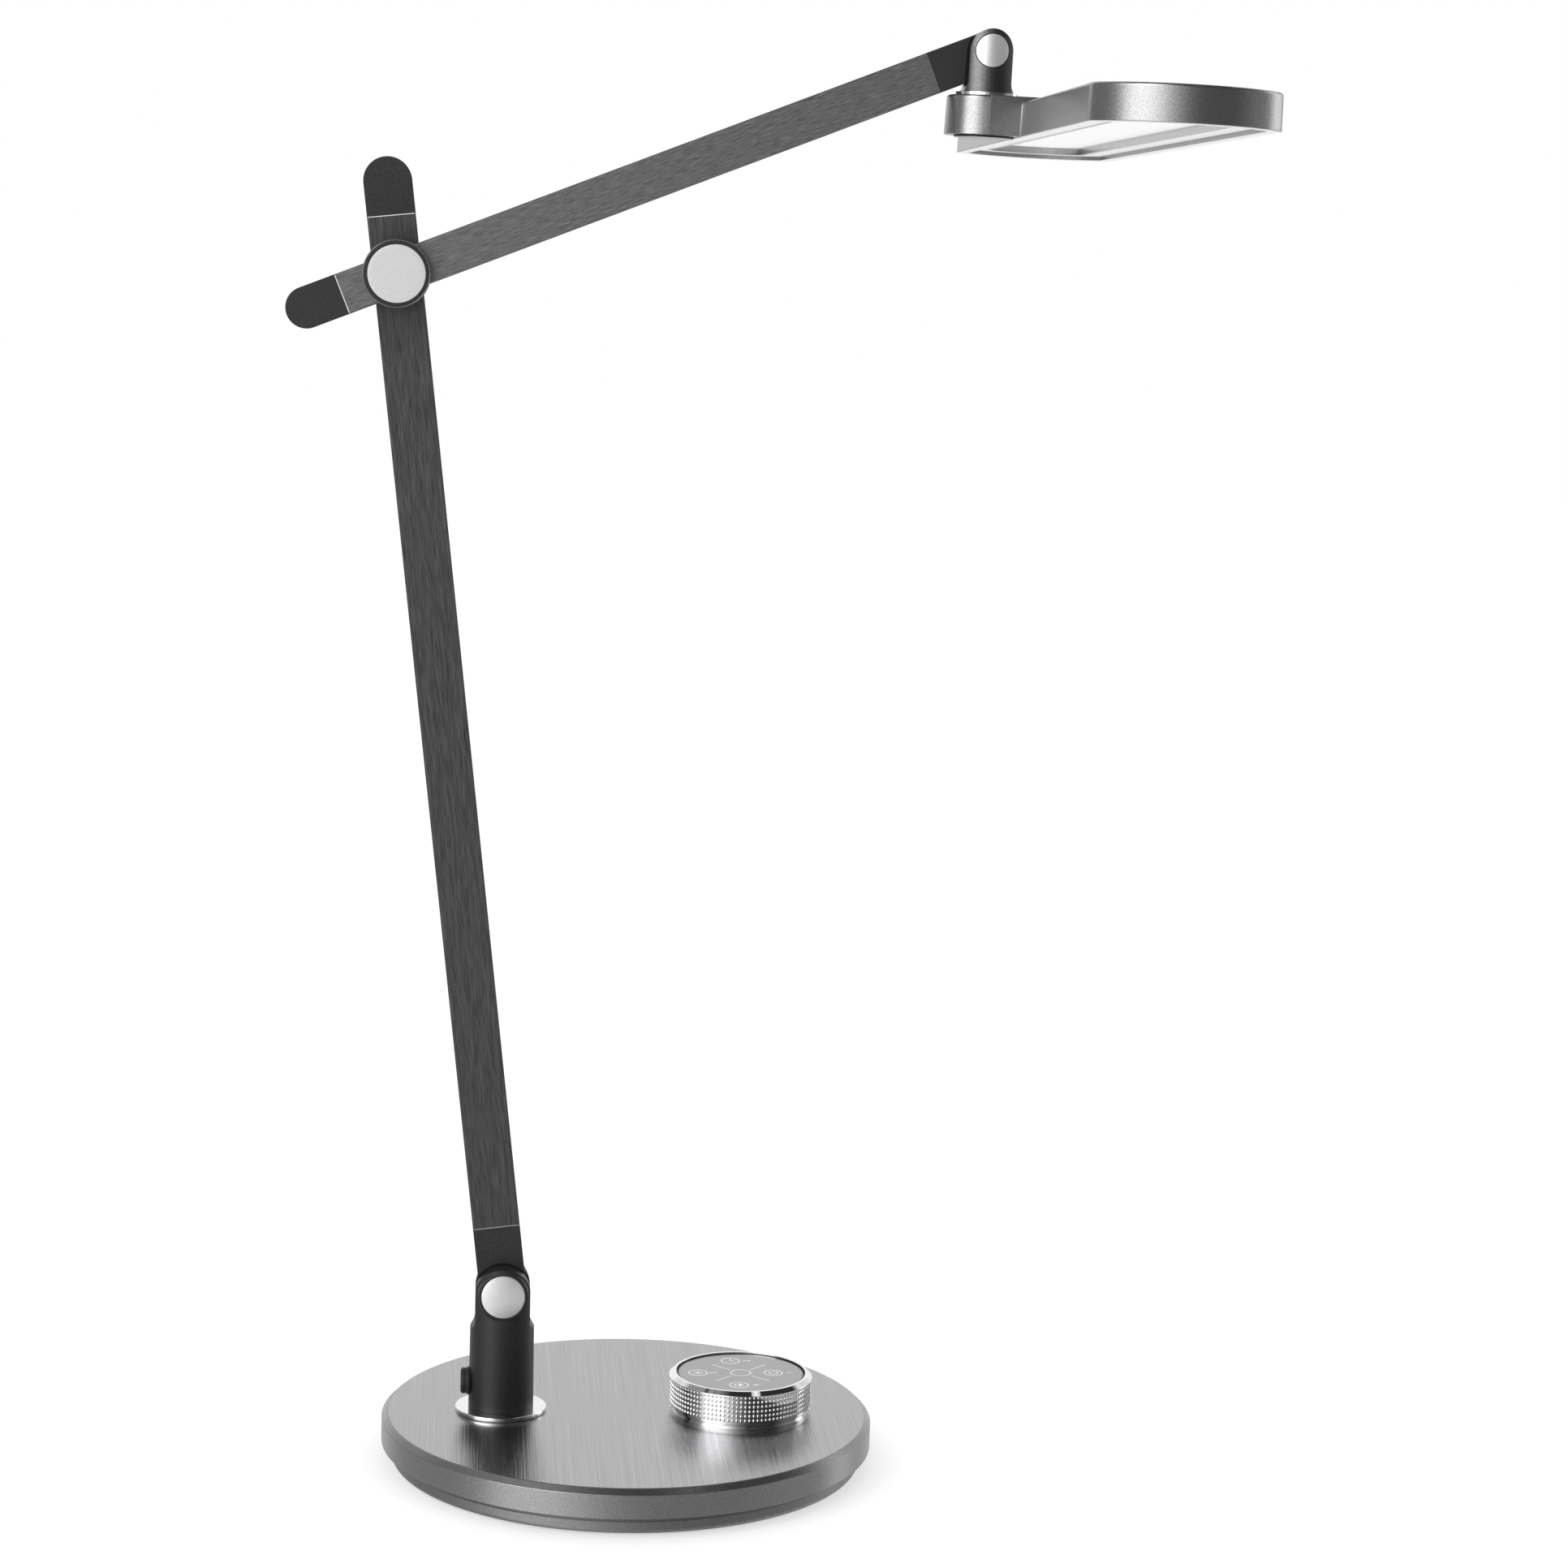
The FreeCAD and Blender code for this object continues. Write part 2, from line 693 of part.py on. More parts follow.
def make_post():
    top = PIVOT_Z + d.ear_radius
    turned_post = turned([
        (0, WASHER_TOP),
        (d.post_foot_radius, WASHER_TOP),
        (d.post_radius, PIVOT_Z - d.shoulder_low),
        (d.post_radius, top),
        (0, top),
    ])
    wide = d.post_foot_radius + d.cutter_overrun
    low_shoulder = PIVOT_Z - d.shoulder_low
    high_shoulder = PIVOT_Z - d.shoulder_high
    step = d.post_radius - d.ear_radius
    fall = d.shoulder_low - d.shoulder_high
    sweep = (step * step + fall * fall) / (step * 2)
    front = padded("XZ_Plane", [
        (-wide, WASHER_TOP),
        (wide, WASHER_TOP),
        (wide, low_shoulder),
        (d.post_radius, low_shoulder),
        (d.ear_radius, high_shoulder, d.ear_radius + sweep, high_shoulder, "right"),
        (d.ear_radius, PIVOT_Z),
        (-d.ear_radius, PIVOT_Z, 0, PIVOT_Z, "left"),
        (-d.ear_radius, high_shoulder),
        (-d.post_radius, low_shoulder, -d.ear_radius - sweep, high_shoulder, "right"),
        (-wide, low_shoulder),
    ], wide * 2, centred=True)
    boss = rounded(rod(d.ear_boss_radius, d.ear_boss_face * 2, (0, -d.ear_boss_face, PIVOT_Z), "Y"), d.ear_round,
                   lambda edge: edge.BoundBox.YLength < d.ear_round.number)
    slot_floor = PIVOT_Z - d.fork_depth
    slot = block((-wide, -d.fork_slot / 2, slot_floor), (wide * 2, d.fork_slot, d.fork_depth + d.ear_radius))
    pin_hole = rod(d.tilt_pin_radius, wide * 2, (0, -wide, PIVOT_Z), "Y")
    seat_depth = wide - d.tilt_cap_seat
    seats = [
        rod(d.tilt_cap_radius + d.running_gap, seat_depth, (0, -wide, PIVOT_Z), "Y"),
        rod(d.tilt_cap_radius + d.running_gap, seat_depth, (0, d.tilt_cap_seat, PIVOT_Z), "Y"),
    ]
    spigot_hole = rod(d.spigot_radius, POST_BORE_TOP - WASHER_TOP, (0, 0, WASHER_TOP))
    lead_hole = rod(d.wire_bore, slot_floor - POST_BORE_TOP, (0, 0, POST_BORE_TOP))
    gland_hole = rod(d.gland_stem, wide, (-wide, 0, TOP + d.gland_rise), "X")
    node(cut(fuse(common(turned_post, front), boss), slot, pin_hole, *seats, spigot_hole, lead_hole, gland_hole),
         "post", AT_POST)


def make_post_fittings():
    rim = d.post_washer_radius - d.post_washer_round
    node(turned([
        (d.spigot_radius, TOP),
        (rim, TOP),
        (d.post_washer_radius, TOP + d.post_washer_round),
        (d.post_washer_radius, WASHER_TOP - d.post_washer_round),
        (rim, WASHER_TOP, rim, WASHER_TOP - d.post_washer_round, "left"),
        (d.spigot_radius, WASHER_TOP),
    ]), "post_washer", AT_POST)
    spigot_foot = BUSH_FOOT - d.swivel_spring_height - d.swivel_nut_height - d.spigot_proud
    node(tube(d.spigot_radius, d.spigot_bore, WASHER_TOP + d.spigot_grip - spigot_foot, (0, 0, spigot_foot)),
         "swivel_spigot", AT_POST)
    bore = d.spigot_radius + d.running_gap
    node(turned([
        (bore, BUSH_FOOT),
        (d.bush_flange, BUSH_FOOT),
        (d.bush_flange, SHELL_UNDER),
        (d.bush_radius, SHELL_UNDER),
        (d.bush_radius, TOP),
        (bore, TOP),
    ]), "swivel_bush", AT_POST)
    spring_low = BUSH_FOOT - d.swivel_spring_height
    node(turned([
        (d.spigot_radius, spring_low),
        (d.spigot_radius + d.spring_lip, spring_low),
        (d.bush_flange - d.spring_lip, BUSH_FOOT - d.spring_metal),
        (d.bush_flange - d.spring_lip, BUSH_FOOT),
        (d.bush_flange - d.spring_lip * 2, BUSH_FOOT),
        (d.spigot_radius, spring_low + d.spring_metal),
    ]), "swivel_spring", AT_POST)
    nut_low = spring_low - d.swivel_nut_height
    node(cut(prism(d.swivel_nut_flats, d.swivel_nut_height, (0, 0, nut_low)),
             rod(d.spigot_radius, d.swivel_nut_height, (0, 0, nut_low))), "swivel_nut", AT_POST)


def make_gland():
    height = TOP + d.gland_rise
    outer = d.post_foot_radius + d.gland_reach
    collar = rod(d.gland_radius, outer - d.post_radius + d.gland_bite, (-outer, 0, height), "X")
    stem = rod(d.gland_stem, outer - d.gland_inner, (-outer, 0, height), "X")
    bore = rod(d.gland_bore, outer, (-outer, 0, height), "X")
    ring = rounded(collar, d.gland_round, lambda edge: edge.BoundBox.XMax < -outer.number + 0.01
                   and edge.BoundBox.YLength > d.gland_radius.number)
    barrel = rod(d.post_foot_radius, d.pivot_rise, (0, 0, TOP))
    node(cut(fuse(cut(ring, barrel), stem), bore), "cord_gland", AT_POST)


def domed_cap(radius, thickness, dome, bore=None):
    """A cap seated at z = 0 whose outer face is slightly domed."""
    inner = bore if bore else 0
    swell = (radius * radius + dome * dome) / (dome * 2)
    return turned([
        (inner, 0),
        (radius, 0),
        (radius, thickness - dome),
        (inner, thickness, 0, thickness - swell, "left"),
    ])


def make_tilt_pin():
    length = d.tilt_cap_seat * 2
    node(rod(d.tilt_pin_radius, length), "tilt_pin", ((POST_X, -d.tilt_cap_seat, PIVOT_Z), ALONG["Y"]))
    thickness = d.tilt_cap_face - d.tilt_cap_seat
    node(domed_cap(d.tilt_cap_radius, thickness, d.tilt_cap_dome), "tilt_cap_front",
         ((POST_X, -d.tilt_cap_seat, PIVOT_Z), ALONG["-Y"]))
    node(domed_cap(d.tilt_cap_radius, thickness, d.tilt_cap_dome), "tilt_cap_rear",
         ((POST_X, d.tilt_cap_seat, PIVOT_Z), ALONG["Y"]))


# Arms: extruded bars with a channel, closed by moulded black ends

def bar_section(width, thickness, chamfer, swap):
    """The bar's outline with small chamfers; swap puts the width on the second axis."""
    half = width / 2
    side = thickness / 2
    corners = [
        (-half + chamfer, -side), (half - chamfer, -side), (half, -side + chamfer), (half, side - chamfer),
        (half - chamfer, side), (-half + chamfer, side), (-half, side - chamfer), (-half, -side + chamfer),
    ]
    return [(y, x) for x, y in corners] if swap else corners


def washers(radius, bore, gap_half):
    """Two thin friction washers, one on each side of a tongue."""
    return [
        tube(radius, bore, d.washer_thickness, (0, gap_half, 0), "Y"),
        tube(radius, bore, d.washer_thickness, (0, -gap_half - d.washer_thickness, 0), "Y"),
    ]


def make_lower_arm():
    end = d.lower_length + d.lower_stub_seam
    half = d.lower_width / 2
    bar = padded("XY_Plane", bar_section(d.lower_width, d.bar_thickness, d.bar_chamfer, False),
                 end - d.lower_seam, d.lower_seam)
    channel = block((-d.channel_width / 2, -d.channel_thickness / 2, d.lower_seam),
                    (d.channel_width, d.channel_thickness, end - d.lower_seam))
    bolt = rod(d.elbow_bolt_radius, d.bar_thickness, (0, -d.bar_thickness / 2, d.lower_length), "Y")
    node(cut(bar, channel, bolt), "lower_bar", AT_LOWER)

    tongue = padded("XZ_Plane", [
        (-half, 0),
        (half, 0, 0, 0, "left"),
        (half, d.lower_seam),
        (-half, d.lower_seam),
    ], d.tongue_thickness, centred=True)
    cutter = d.bar_thickness + d.cutter_overrun * 2
    shoulder = cut(centred_block(0, 0, 0, (d.lower_width, d.bar_thickness, d.lower_seam)),
                   rod(d.ear_radius + d.shoulder_gap, cutter, (0, -cutter / 2, 0), "Y"))
    plug = centred_block(0, 0, d.lower_seam, (d.channel_width - d.seat_gap,
                                               d.channel_thickness - d.seat_gap, d.plug_length))
    pin = rod(d.tilt_pin_radius + d.running_gap, d.bar_thickness, (0, -d.bar_thickness / 2, 0), "Y")
    node(cut(fuse(tongue, shoulder, plug), pin), "lower_tongue", AT_LOWER)
    node(group(*washers(d.tilt_cap_radius, d.tilt_pin_radius + d.running_gap, d.tongue_thickness / 2)),
         "tilt_washers", AT_LOWER)

    tip = d.lower_length + d.lower_stub - half
    cap = padded("XZ_Plane", [
        (-half, end),
        (half, end),
        (half, tip),
        (-half, tip, 0, tip, "left"),
    ], d.bar_thickness, centred=True)
    insert = centred_block(0, 0, end - d.plug_length / 2, (
        d.channel_width - d.seat_gap, d.channel_thickness - d.seat_gap, d.plug_length / 2))
    node(fuse(cap, insert), "lower_end_cap", AT_LOWER)


def make_elbow():
    front_bar = UPPER_Y - d.bar_thickness / 2
    node(rod(d.elbow_bolt_radius, d.bar_thickness * 1.5 - UPPER_Y), "elbow_bolt",
         ((ELBOW_X, front_bar, ELBOW_Z), ALONG["Y"]))
    spacer = tube(d.elbow_spacer_radius, d.elbow_bolt_radius, d.elbow_spacing)
    node(spacer, "elbow_spacer", ((ELBOW_X, UPPER_Y + d.bar_thickness / 2, ELBOW_Z), ALONG["Y"]))
    rear = cut(domed_cap(d.elbow_rear_radius, d.elbow_rear_thickness + d.bar_thickness / 2, d.elbow_rear_dome),
               rod(d.elbow_bolt_radius, d.bar_thickness))
    cover = cut(rear, rod(d.elbow_rear_radius * 2, d.bar_thickness / 2))
    node(cover, "elbow_rear_cap", ((ELBOW_X, 0, ELBOW_Z), ALONG["Y"]))

    face = d.elbow_knob_thickness
    shelf = face - d.elbow_disc_inset
    seat = d.elbow_disc_radius + d.running_gap
    node(turned([
        (0, 0),
        (d.elbow_knob_radius, 0),
        (d.elbow_knob_radius, face - d.elbow_knob_chamfer),
        (d.elbow_knob_radius - d.elbow_knob_chamfer, face),
        (seat, face),
        (seat, shelf),
        (0, shelf),
    ]), "elbow_knob", ((ELBOW_X, front_bar, ELBOW_Z), ALONG["-Y"]))
    disc = domed_cap(d.elbow_disc_radius, d.elbow_disc_inset + d.elbow_disc_proud, d.elbow_disc_dome)
    node(disc, "elbow_disc", ((ELBOW_X, front_bar - shelf, ELBOW_Z), ALONG["-Y"]))


def bracket_room():
    """The room that the head bracket needs beside the tongue, at its lowest tilt."""
    dip = d.upper_rise_angle + d.head_droop_angle + d.bracket_dip_angle
    reach = d.bracket_width / 2 + d.shoulder_gap
    across, rise = cosine(dip) * reach, sine(dip) * reach
    back, fall = sine(dip) * d.bracket_foot, cosine(dip) * d.bracket_foot
    return padded("XZ_Plane", [
        (d.upper_length + across, -rise),
        (d.upper_length - across, rise, d.upper_length, 0, "left"),
        (d.upper_length - across - back, rise - fall),
        (d.upper_length + across - back, -rise - fall),
    ], d.bar_thickness + d.cutter_overrun * 2, centred=True)


def make_upper_arm():
    start = -d.upper_stub_seam
    end = d.upper_length - d.upper_seam
    half = d.upper_width / 2
    bar = padded("YZ_Plane", bar_section(d.upper_width, d.bar_thickness, d.bar_chamfer, True),
                 end - start, start)
    channel = block((start, -d.channel_thickness / 2, -d.channel_width / 2),
                    (end - start, d.channel_thickness, d.channel_width))
    bolt = rod(d.elbow_bolt_radius + d.running_gap, d.bar_thickness, (0, -d.bar_thickness / 2, 0), "Y")
    node(cut(bar, channel, bolt), "upper_bar", AT_UPPER)

    tongue = padded("XZ_Plane", [
        (end, -half),
        (d.upper_length, -half),
        (d.upper_length, half, d.upper_length, 0, "left"),
        (end, half),
    ], d.tongue_thickness, centred=True)
    shoulder = cut(block((end, -d.bar_thickness / 2, -half), (d.upper_seam, d.bar_thickness, d.upper_width)),
                   bracket_room())
    inner_width = d.channel_width - d.seat_gap
    inner_thickness = d.channel_thickness - d.seat_gap
    plug = block((end - d.plug_length, -inner_thickness / 2, -inner_width / 2),
                 (d.plug_length, inner_thickness, inner_width))
    pin = rod(d.head_pin_radius + d.running_gap, d.bar_thickness,
              (d.upper_length, -d.bar_thickness / 2, 0), "Y")
    node(cut(fuse(tongue, shoulder, plug), pin), "upper_tongue", AT_UPPER)

    tip = -d.upper_stub + half
    cap = padded("XZ_Plane", [
        (start, half),
        (tip, half),
        (tip, -half, tip, 0, "left"),
        (start, -half),
    ], d.bar_thickness, centred=True)
    insert = block((start, -inner_thickness / 2, -inner_width / 2),
                   (d.plug_length / 2, inner_thickness, inner_width))
    node(fuse(cap, insert), "upper_end_cap", AT_UPPER)


# Head bracket: a clevis that flares to a round foot

def make_bracket():
    half = d.bracket_width / 2
    foot_half = d.bracket_foot_width / 2
    low = -d.bracket_foot
    spread = foot_half - half
    fall = d.bracket_foot - d.bracket_flare
    sweep = (spread * spread + fall * fall) / (spread * 2)
    front = padded("XZ_Plane", [
        (-foot_half, low),
        (foot_half, low),
        (half, -d.bracket_flare, half + sweep, -d.bracket_flare, "right"),
        (half, 0),
        (-half, 0, 0, 0, "left"),
        (-half, -d.bracket_flare),
        (-foot_half, low, -half - sweep, -d.bracket_flare, "right"),
    ][1:], d.bracket_foot_width + d.cutter_overrun * 2, centred=True)
    side_half = d.bracket_depth / 2
    side = padded("YZ_Plane", [
        (-foot_half, low),
        (foot_half, low),
        (side_half, -d.bracket_flare),
        (side_half, half),
        (-side_half, half),
        (-side_half, -d.bracket_flare),
    ], d.bracket_foot_width + d.cutter_overrun * 2, centred=True)
    round_limit = turned([
        (0, low),
        (d.bracket_foot_corner, low),
        (d.bracket_corner, -d.bracket_flare),
        (d.bracket_corner, half),
        (0, half),
    ])
    reach = d.bracket_foot_width
    slot = block((-reach / 2, -d.fork_slot / 2, -d.bracket_slot_depth),
                 (reach, d.fork_slot, d.bracket_slot_depth + half))
    pin = rod(d.head_pin_radius, d.bracket_depth, (0, -side_half, 0), "Y")
    seat = d.head_cap_radius + d.running_gap
    seats = [
        rod(seat, d.head_cap_seat, (0, -side_half, 0), "Y"),
        rod(seat, d.head_cap_seat, (0, side_half - d.head_cap_seat, 0), "Y"),
    ]
    stud = rod(d.stud_radius, d.bracket_foot, (0, 0, low))
    node(cut(common(front, side, round_limit), slot, pin, *seats, stud), "head_bracket", AT_HEAD)

    cap_seat = side_half - d.head_cap_seat
    node(rod(d.head_pin_radius, cap_seat * 2), "head_pin", ((HEAD_X, UPPER_Y - cap_seat, HEAD_Z), ALONG["Y"]))
    thickness = d.head_cap_seat + d.head_cap_proud
    node(domed_cap(d.head_cap_radius, thickness, d.head_cap_dome), "head_cap_front",
         ((HEAD_X, UPPER_Y - cap_seat, HEAD_Z), ALONG["-Y"]))
    node(domed_cap(d.head_cap_radius, thickness, d.head_cap_dome), "head_cap_rear",
         ((HEAD_X, UPPER_Y + cap_seat, HEAD_Z), ALONG["Y"]))
    node(group(*washers(d.bracket_width / 2 - d.washer_inset, d.head_pin_radius + d.running_gap,
                        d.tongue_thickness / 2)), "head_washers", AT_HEAD)


BOSS_TOP = -(d.bracket_foot + d.head_washer_thickness)


def make_head_swivel():
    node(tube(d.head_washer_radius, d.stud_radius, d.head_washer_thickness, (0, 0, BOSS_TOP)),
         "head_washer", AT_HEAD)
    node(tube(d.stud_radius, d.stud_bore, d.stud_end - d.bracket_slot_depth, (0, 0, -d.stud_end)),
         "head_stud", AT_HEAD)
    roof_low = BOSS_TOP - d.boss_roof
    node(tube(d.stud_bush_radius, d.stud_radius + d.running_gap, d.boss_roof, (0, 0, roof_low)),
         "head_bush", AT_HEAD)
    spring_low = roof_low - d.stud_spring_height
    node(tube(d.stud_nut_flats / 2, d.stud_radius, d.stud_spring_height, (0, 0, spring_low)),
         "head_spring", AT_HEAD)
    nut_low = spring_low - d.stud_nut_height
    node(cut(prism(d.stud_nut_flats, d.stud_nut_height, (0, 0, nut_low)),
             rod(d.stud_radius, d.stud_nut_height, (0, 0, nut_low))), "head_nut", AT_HEAD)


# Head: a moulded shell on a boss, with the light stack seated in it from below

PANEL_MIDDLE = d.panel_start + d.panel_width / 2
SAGITTA = d.panel_peak - d.panel_corner
END_RADIUS = (d.panel_width * d.panel_width / 4 + SAGITTA * SAGITTA) / (SAGITTA * 2)
END_CENTRE = d.panel_peak - END_RADIUS
HEAD_LOW = -d.head_depth


def panel_outline(inset):
    """The head's outline seen from above, moved inwards by inset."""
    half = d.panel_width / 2 - inset
    radius = END_RADIUS - inset
    corner = END_CENTRE + root(radius * radius - half * half)
    left = PANEL_MIDDLE - half
    right = PANEL_MIDDLE + half
    return [
        (left, -corner),
        (right, -corner, PANEL_MIDDLE, -END_CENTRE, "left"),
        (right, corner),
        (left, corner, PANEL_MIDDLE, END_CENTRE, "left"),
    ]


def is_corner(edge):
    """An upright edge at one of the four corners of a head outline."""
    box = edge.BoundBox
    return box.ZLength > 0.3 and box.XLength < 1 and box.YLength < 1 and abs(box.YMin) > d.strip_length.number / 2


def layer(inset, low, height, corner=None, taper=None):
    slab = padded("XY_Plane", panel_outline(as_size(inset)), height, low, taper=taper)
    return rounded(slab, corner, is_corner) if corner is not None else slab


def make_head_shell():
    panel = layer(0, HEAD_LOW, d.panel_height, d.panel_corner_radius, -d.panel_draft_angle)
    top = HEAD_LOW + d.panel_height
    shaped = rounded(panel, d.panel_edge_round, lambda edge: edge.BoundBox.ZMin > top.number - 0.01)
    wire_reach = d.panel_start + d.rim_width + d.ledge_width
    foot = d.boss_radius + d.boss_flare
    neck_side = padded("XZ_Plane", [
        (0, HEAD_LOW),
        (d.panel_start, HEAD_LOW),
        (d.panel_start, top - d.head_roof),
        (d.neck_end, top - d.head_roof),
        (d.neck_end, top),
        (d.neck_end - d.panel_edge_round, BOSS_TOP - d.panel_edge_round / 2),
        (d.neck_end - d.panel_edge_round * 2, BOSS_TOP),
        (0, BOSS_TOP),
    ], foot * 2, centred=True)
    neck_front = padded("YZ_Plane", [
        (-foot, HEAD_LOW),
        (foot, HEAD_LOW),
        (d.boss_radius, BOSS_TOP),
        (-d.boss_radius, BOSS_TOP),
    ], d.neck_end, 0)
    neck = common(neck_side, neck_front)
    boss = turned([(0, HEAD_LOW), (foot, HEAD_LOW), (d.boss_radius, BOSS_TOP), (0, BOSS_TOP)])
    eased = rounded(boss, d.panel_edge_round, lambda edge: edge.BoundBox.ZMin > BOSS_TOP.number - 0.01)
    roof = top - d.head_roof
    hooks = [block((x, y, BEZEL_TOP + d.hook_height - d.hook_thickness),
                   (d.hook_thickness, d.hook_width, d.hook_thickness)) for side, x, y in hook_spots(0)]
    boss_roof = BOSS_TOP - d.boss_roof
    node(cut(
        fuse(shaped, neck, eased),
        layer(d.rim_width, HEAD_LOW, BEZEL_TOP - HEAD_LOW, d.window_corner_radius),
        layer(d.rim_width + d.ledge_width, BEZEL_TOP, roof - BEZEL_TOP),
        rod(d.stud_bush_radius, d.head_depth, (0, 0, HEAD_LOW)),
        rod(d.boss_cavity, boss_roof - HEAD_LOW, (0, 0, HEAD_LOW)),
        block((0, -d.wire_slot / 2, BEZEL_TOP), (wire_reach, d.wire_slot, d.guide_thickness)),
        *hooks,
    ), "head_shell", AT_HEAD)
    cover_low = HEAD_LOW - d.boss_cover_proud
    cover = fuse(rod(d.boss_cover_radius, d.boss_cover_proud * 2, (0, 0, cover_low)),
                 rod(d.boss_cavity, d.boss_cover_proud, (0, 0, HEAD_LOW + d.boss_cover_proud)))
    node(cover, "boss_cover", AT_HEAD)


def hook_spots(gap):
    """Where the bezel's snap hooks meet the long walls; gap draws them back from the wall."""
    wall = d.rim_width + d.ledge_width
    left = d.panel_start + wall - d.hook_thickness / 2 + gap
    right = d.panel_start + d.panel_width - wall - d.hook_thickness / 2 - gap
    reach = d.strip_length / 2 + d.hook_width
    return [(side, x, y - d.hook_width / 2) for side, x in ((1, left), (-1, right)) for y in (-reach, reach)]


BEZEL_LOW = HEAD_LOW + d.bezel_recess
BEZEL_TOP = BEZEL_LOW + d.bezel_thickness
GASKET_TOP = BEZEL_TOP + d.gasket_flange
DIFFUSER_TOP = GASKET_TOP + d.diffuser_thickness
GUIDE_TOP = DIFFUSER_TOP + d.guide_thickness
REFLECTOR_TOP = GUIDE_TOP + d.reflector_thickness
ROOF = HEAD_LOW + d.panel_height - d.head_roof


def make_light():
    bezel_out = d.rim_width + d.seat_gap
    bezel_in = d.rim_width + d.bezel_width
    wall = d.rim_width + d.ledge_width
    window = bezel_in + d.gasket_width
    frame = cut(layer(bezel_out, BEZEL_LOW, d.bezel_thickness, d.window_corner_radius),
                layer(bezel_in, BEZEL_LOW, d.bezel_thickness, d.window_corner_radius))
    width = d.hook_width - d.seat_gap * 2
    stems = [block((x, y + d.seat_gap, BEZEL_TOP), (d.hook_thickness, width, d.hook_height - d.seat_gap))
             for side, x, y in hook_spots(d.hook_thickness / 2 + d.seat_gap)]
    barb_low = BEZEL_TOP + d.hook_height - d.hook_thickness + d.seat_gap
    barbs = [block((x + d.seat_gap * side, y + d.seat_gap, barb_low),
                   (d.hook_thickness, width, d.hook_thickness - d.seat_gap * 2))
             for side, x, y in hook_spots(0)]
    node(fuse(frame, *stems, *barbs), "head_bezel", AT_HEAD)

    sleeve = cut(layer(bezel_in + d.seat_gap, BEZEL_LOW, GASKET_TOP - BEZEL_LOW, d.window_corner_radius),
                 layer(window, BEZEL_LOW, GASKET_TOP - BEZEL_LOW, d.window_corner_radius))
    flange = cut(layer(bezel_in - d.gasket_reach, BEZEL_TOP, d.gasket_flange),
                 layer(bezel_in + d.gasket_width / 2, BEZEL_TOP, d.gasket_flange))
    node(fuse(sleeve, flange), "window_gasket", AT_HEAD)

    guide_inset = bezel_in - d.gasket_reach + d.strip_inset + d.led_depth
    node(layer(guide_inset, GASKET_TOP, d.diffuser_thickness), "diffuser", AT_HEAD)
    node(layer(guide_inset, DIFFUSER_TOP, d.guide_thickness), "light_guide", AT_HEAD)
    node(layer(guide_inset, GUIDE_TOP, d.reflector_thickness), "reflector", AT_HEAD)
    node(layer(wall + d.seat_gap, REFLECTOR_TOP, ROOF - REFLECTOR_TOP), "heat_plate", AT_HEAD)

    strip_out = guide_inset - d.led_depth - d.strip_thickness
    height = REFLECTOR_TOP - GASKET_TOP
    led_low = DIFFUSER_TOP + (d.guide_thickness - d.led_size) / 2
    count = int(d.strip_length.number / d.led_pitch.number)
    strips = []
    for side in (-1, 1):
        wall_x = PANEL_MIDDLE + (d.panel_width / 2 - strip_out) * side
        board_x = wall_x if side < 0 else wall_x - d.strip_thickness
        led_x = wall_x + d.strip_thickness if side < 0 else wall_x - d.strip_thickness - d.led_depth
        board = block((board_x, -d.strip_length / 2, GASKET_TOP), (d.strip_thickness, d.strip_length, height))
        leds = [block((led_x, (i - count / 2 + 0.5) * d.led_pitch - d.led_size / 2, led_low),
                      (d.led_depth, d.led_size, d.led_size)) for i in range(count)]
        strips.append(fuse(board, *leds))
    node(group(*strips), "led_strips", AT_HEAD)


def write_parts():
    doc.recompute()
    os.makedirs("parts", exist_ok=True)
    broken = [thing.Name for thing in doc.Objects if {"Invalid", "Error"} & set(thing.State)]
    broken += [piece.Label for piece in nodes if piece.Shape.isNull() or not piece.Shape.isValid()]
    if broken:
        raise RuntimeError("these did not build: " + ", ".join(broken))
    for piece in nodes:
        piece.Shape.exportStep("parts/%s.step" % piece.Label)
        print("%-16s %9.1f mm3  %d solids" % (piece.Label, piece.Shape.Volume, len(piece.Shape.Solids)))


make_tray()
make_foot_pad()
make_shell()
make_top_plate()
make_weight()
make_screws()
make_control_board()
make_dial()
make_post()
make_post_fittings()
make_gland()
make_tilt_pin()
make_lower_arm()
make_elbow()
make_upper_arm()
make_bracket()
make_head_swivel()
make_head_shell()
make_light()
write_parts()
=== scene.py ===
import json
import math
from collections import namedtuple

import bpy
from mathutils import Matrix, Vector


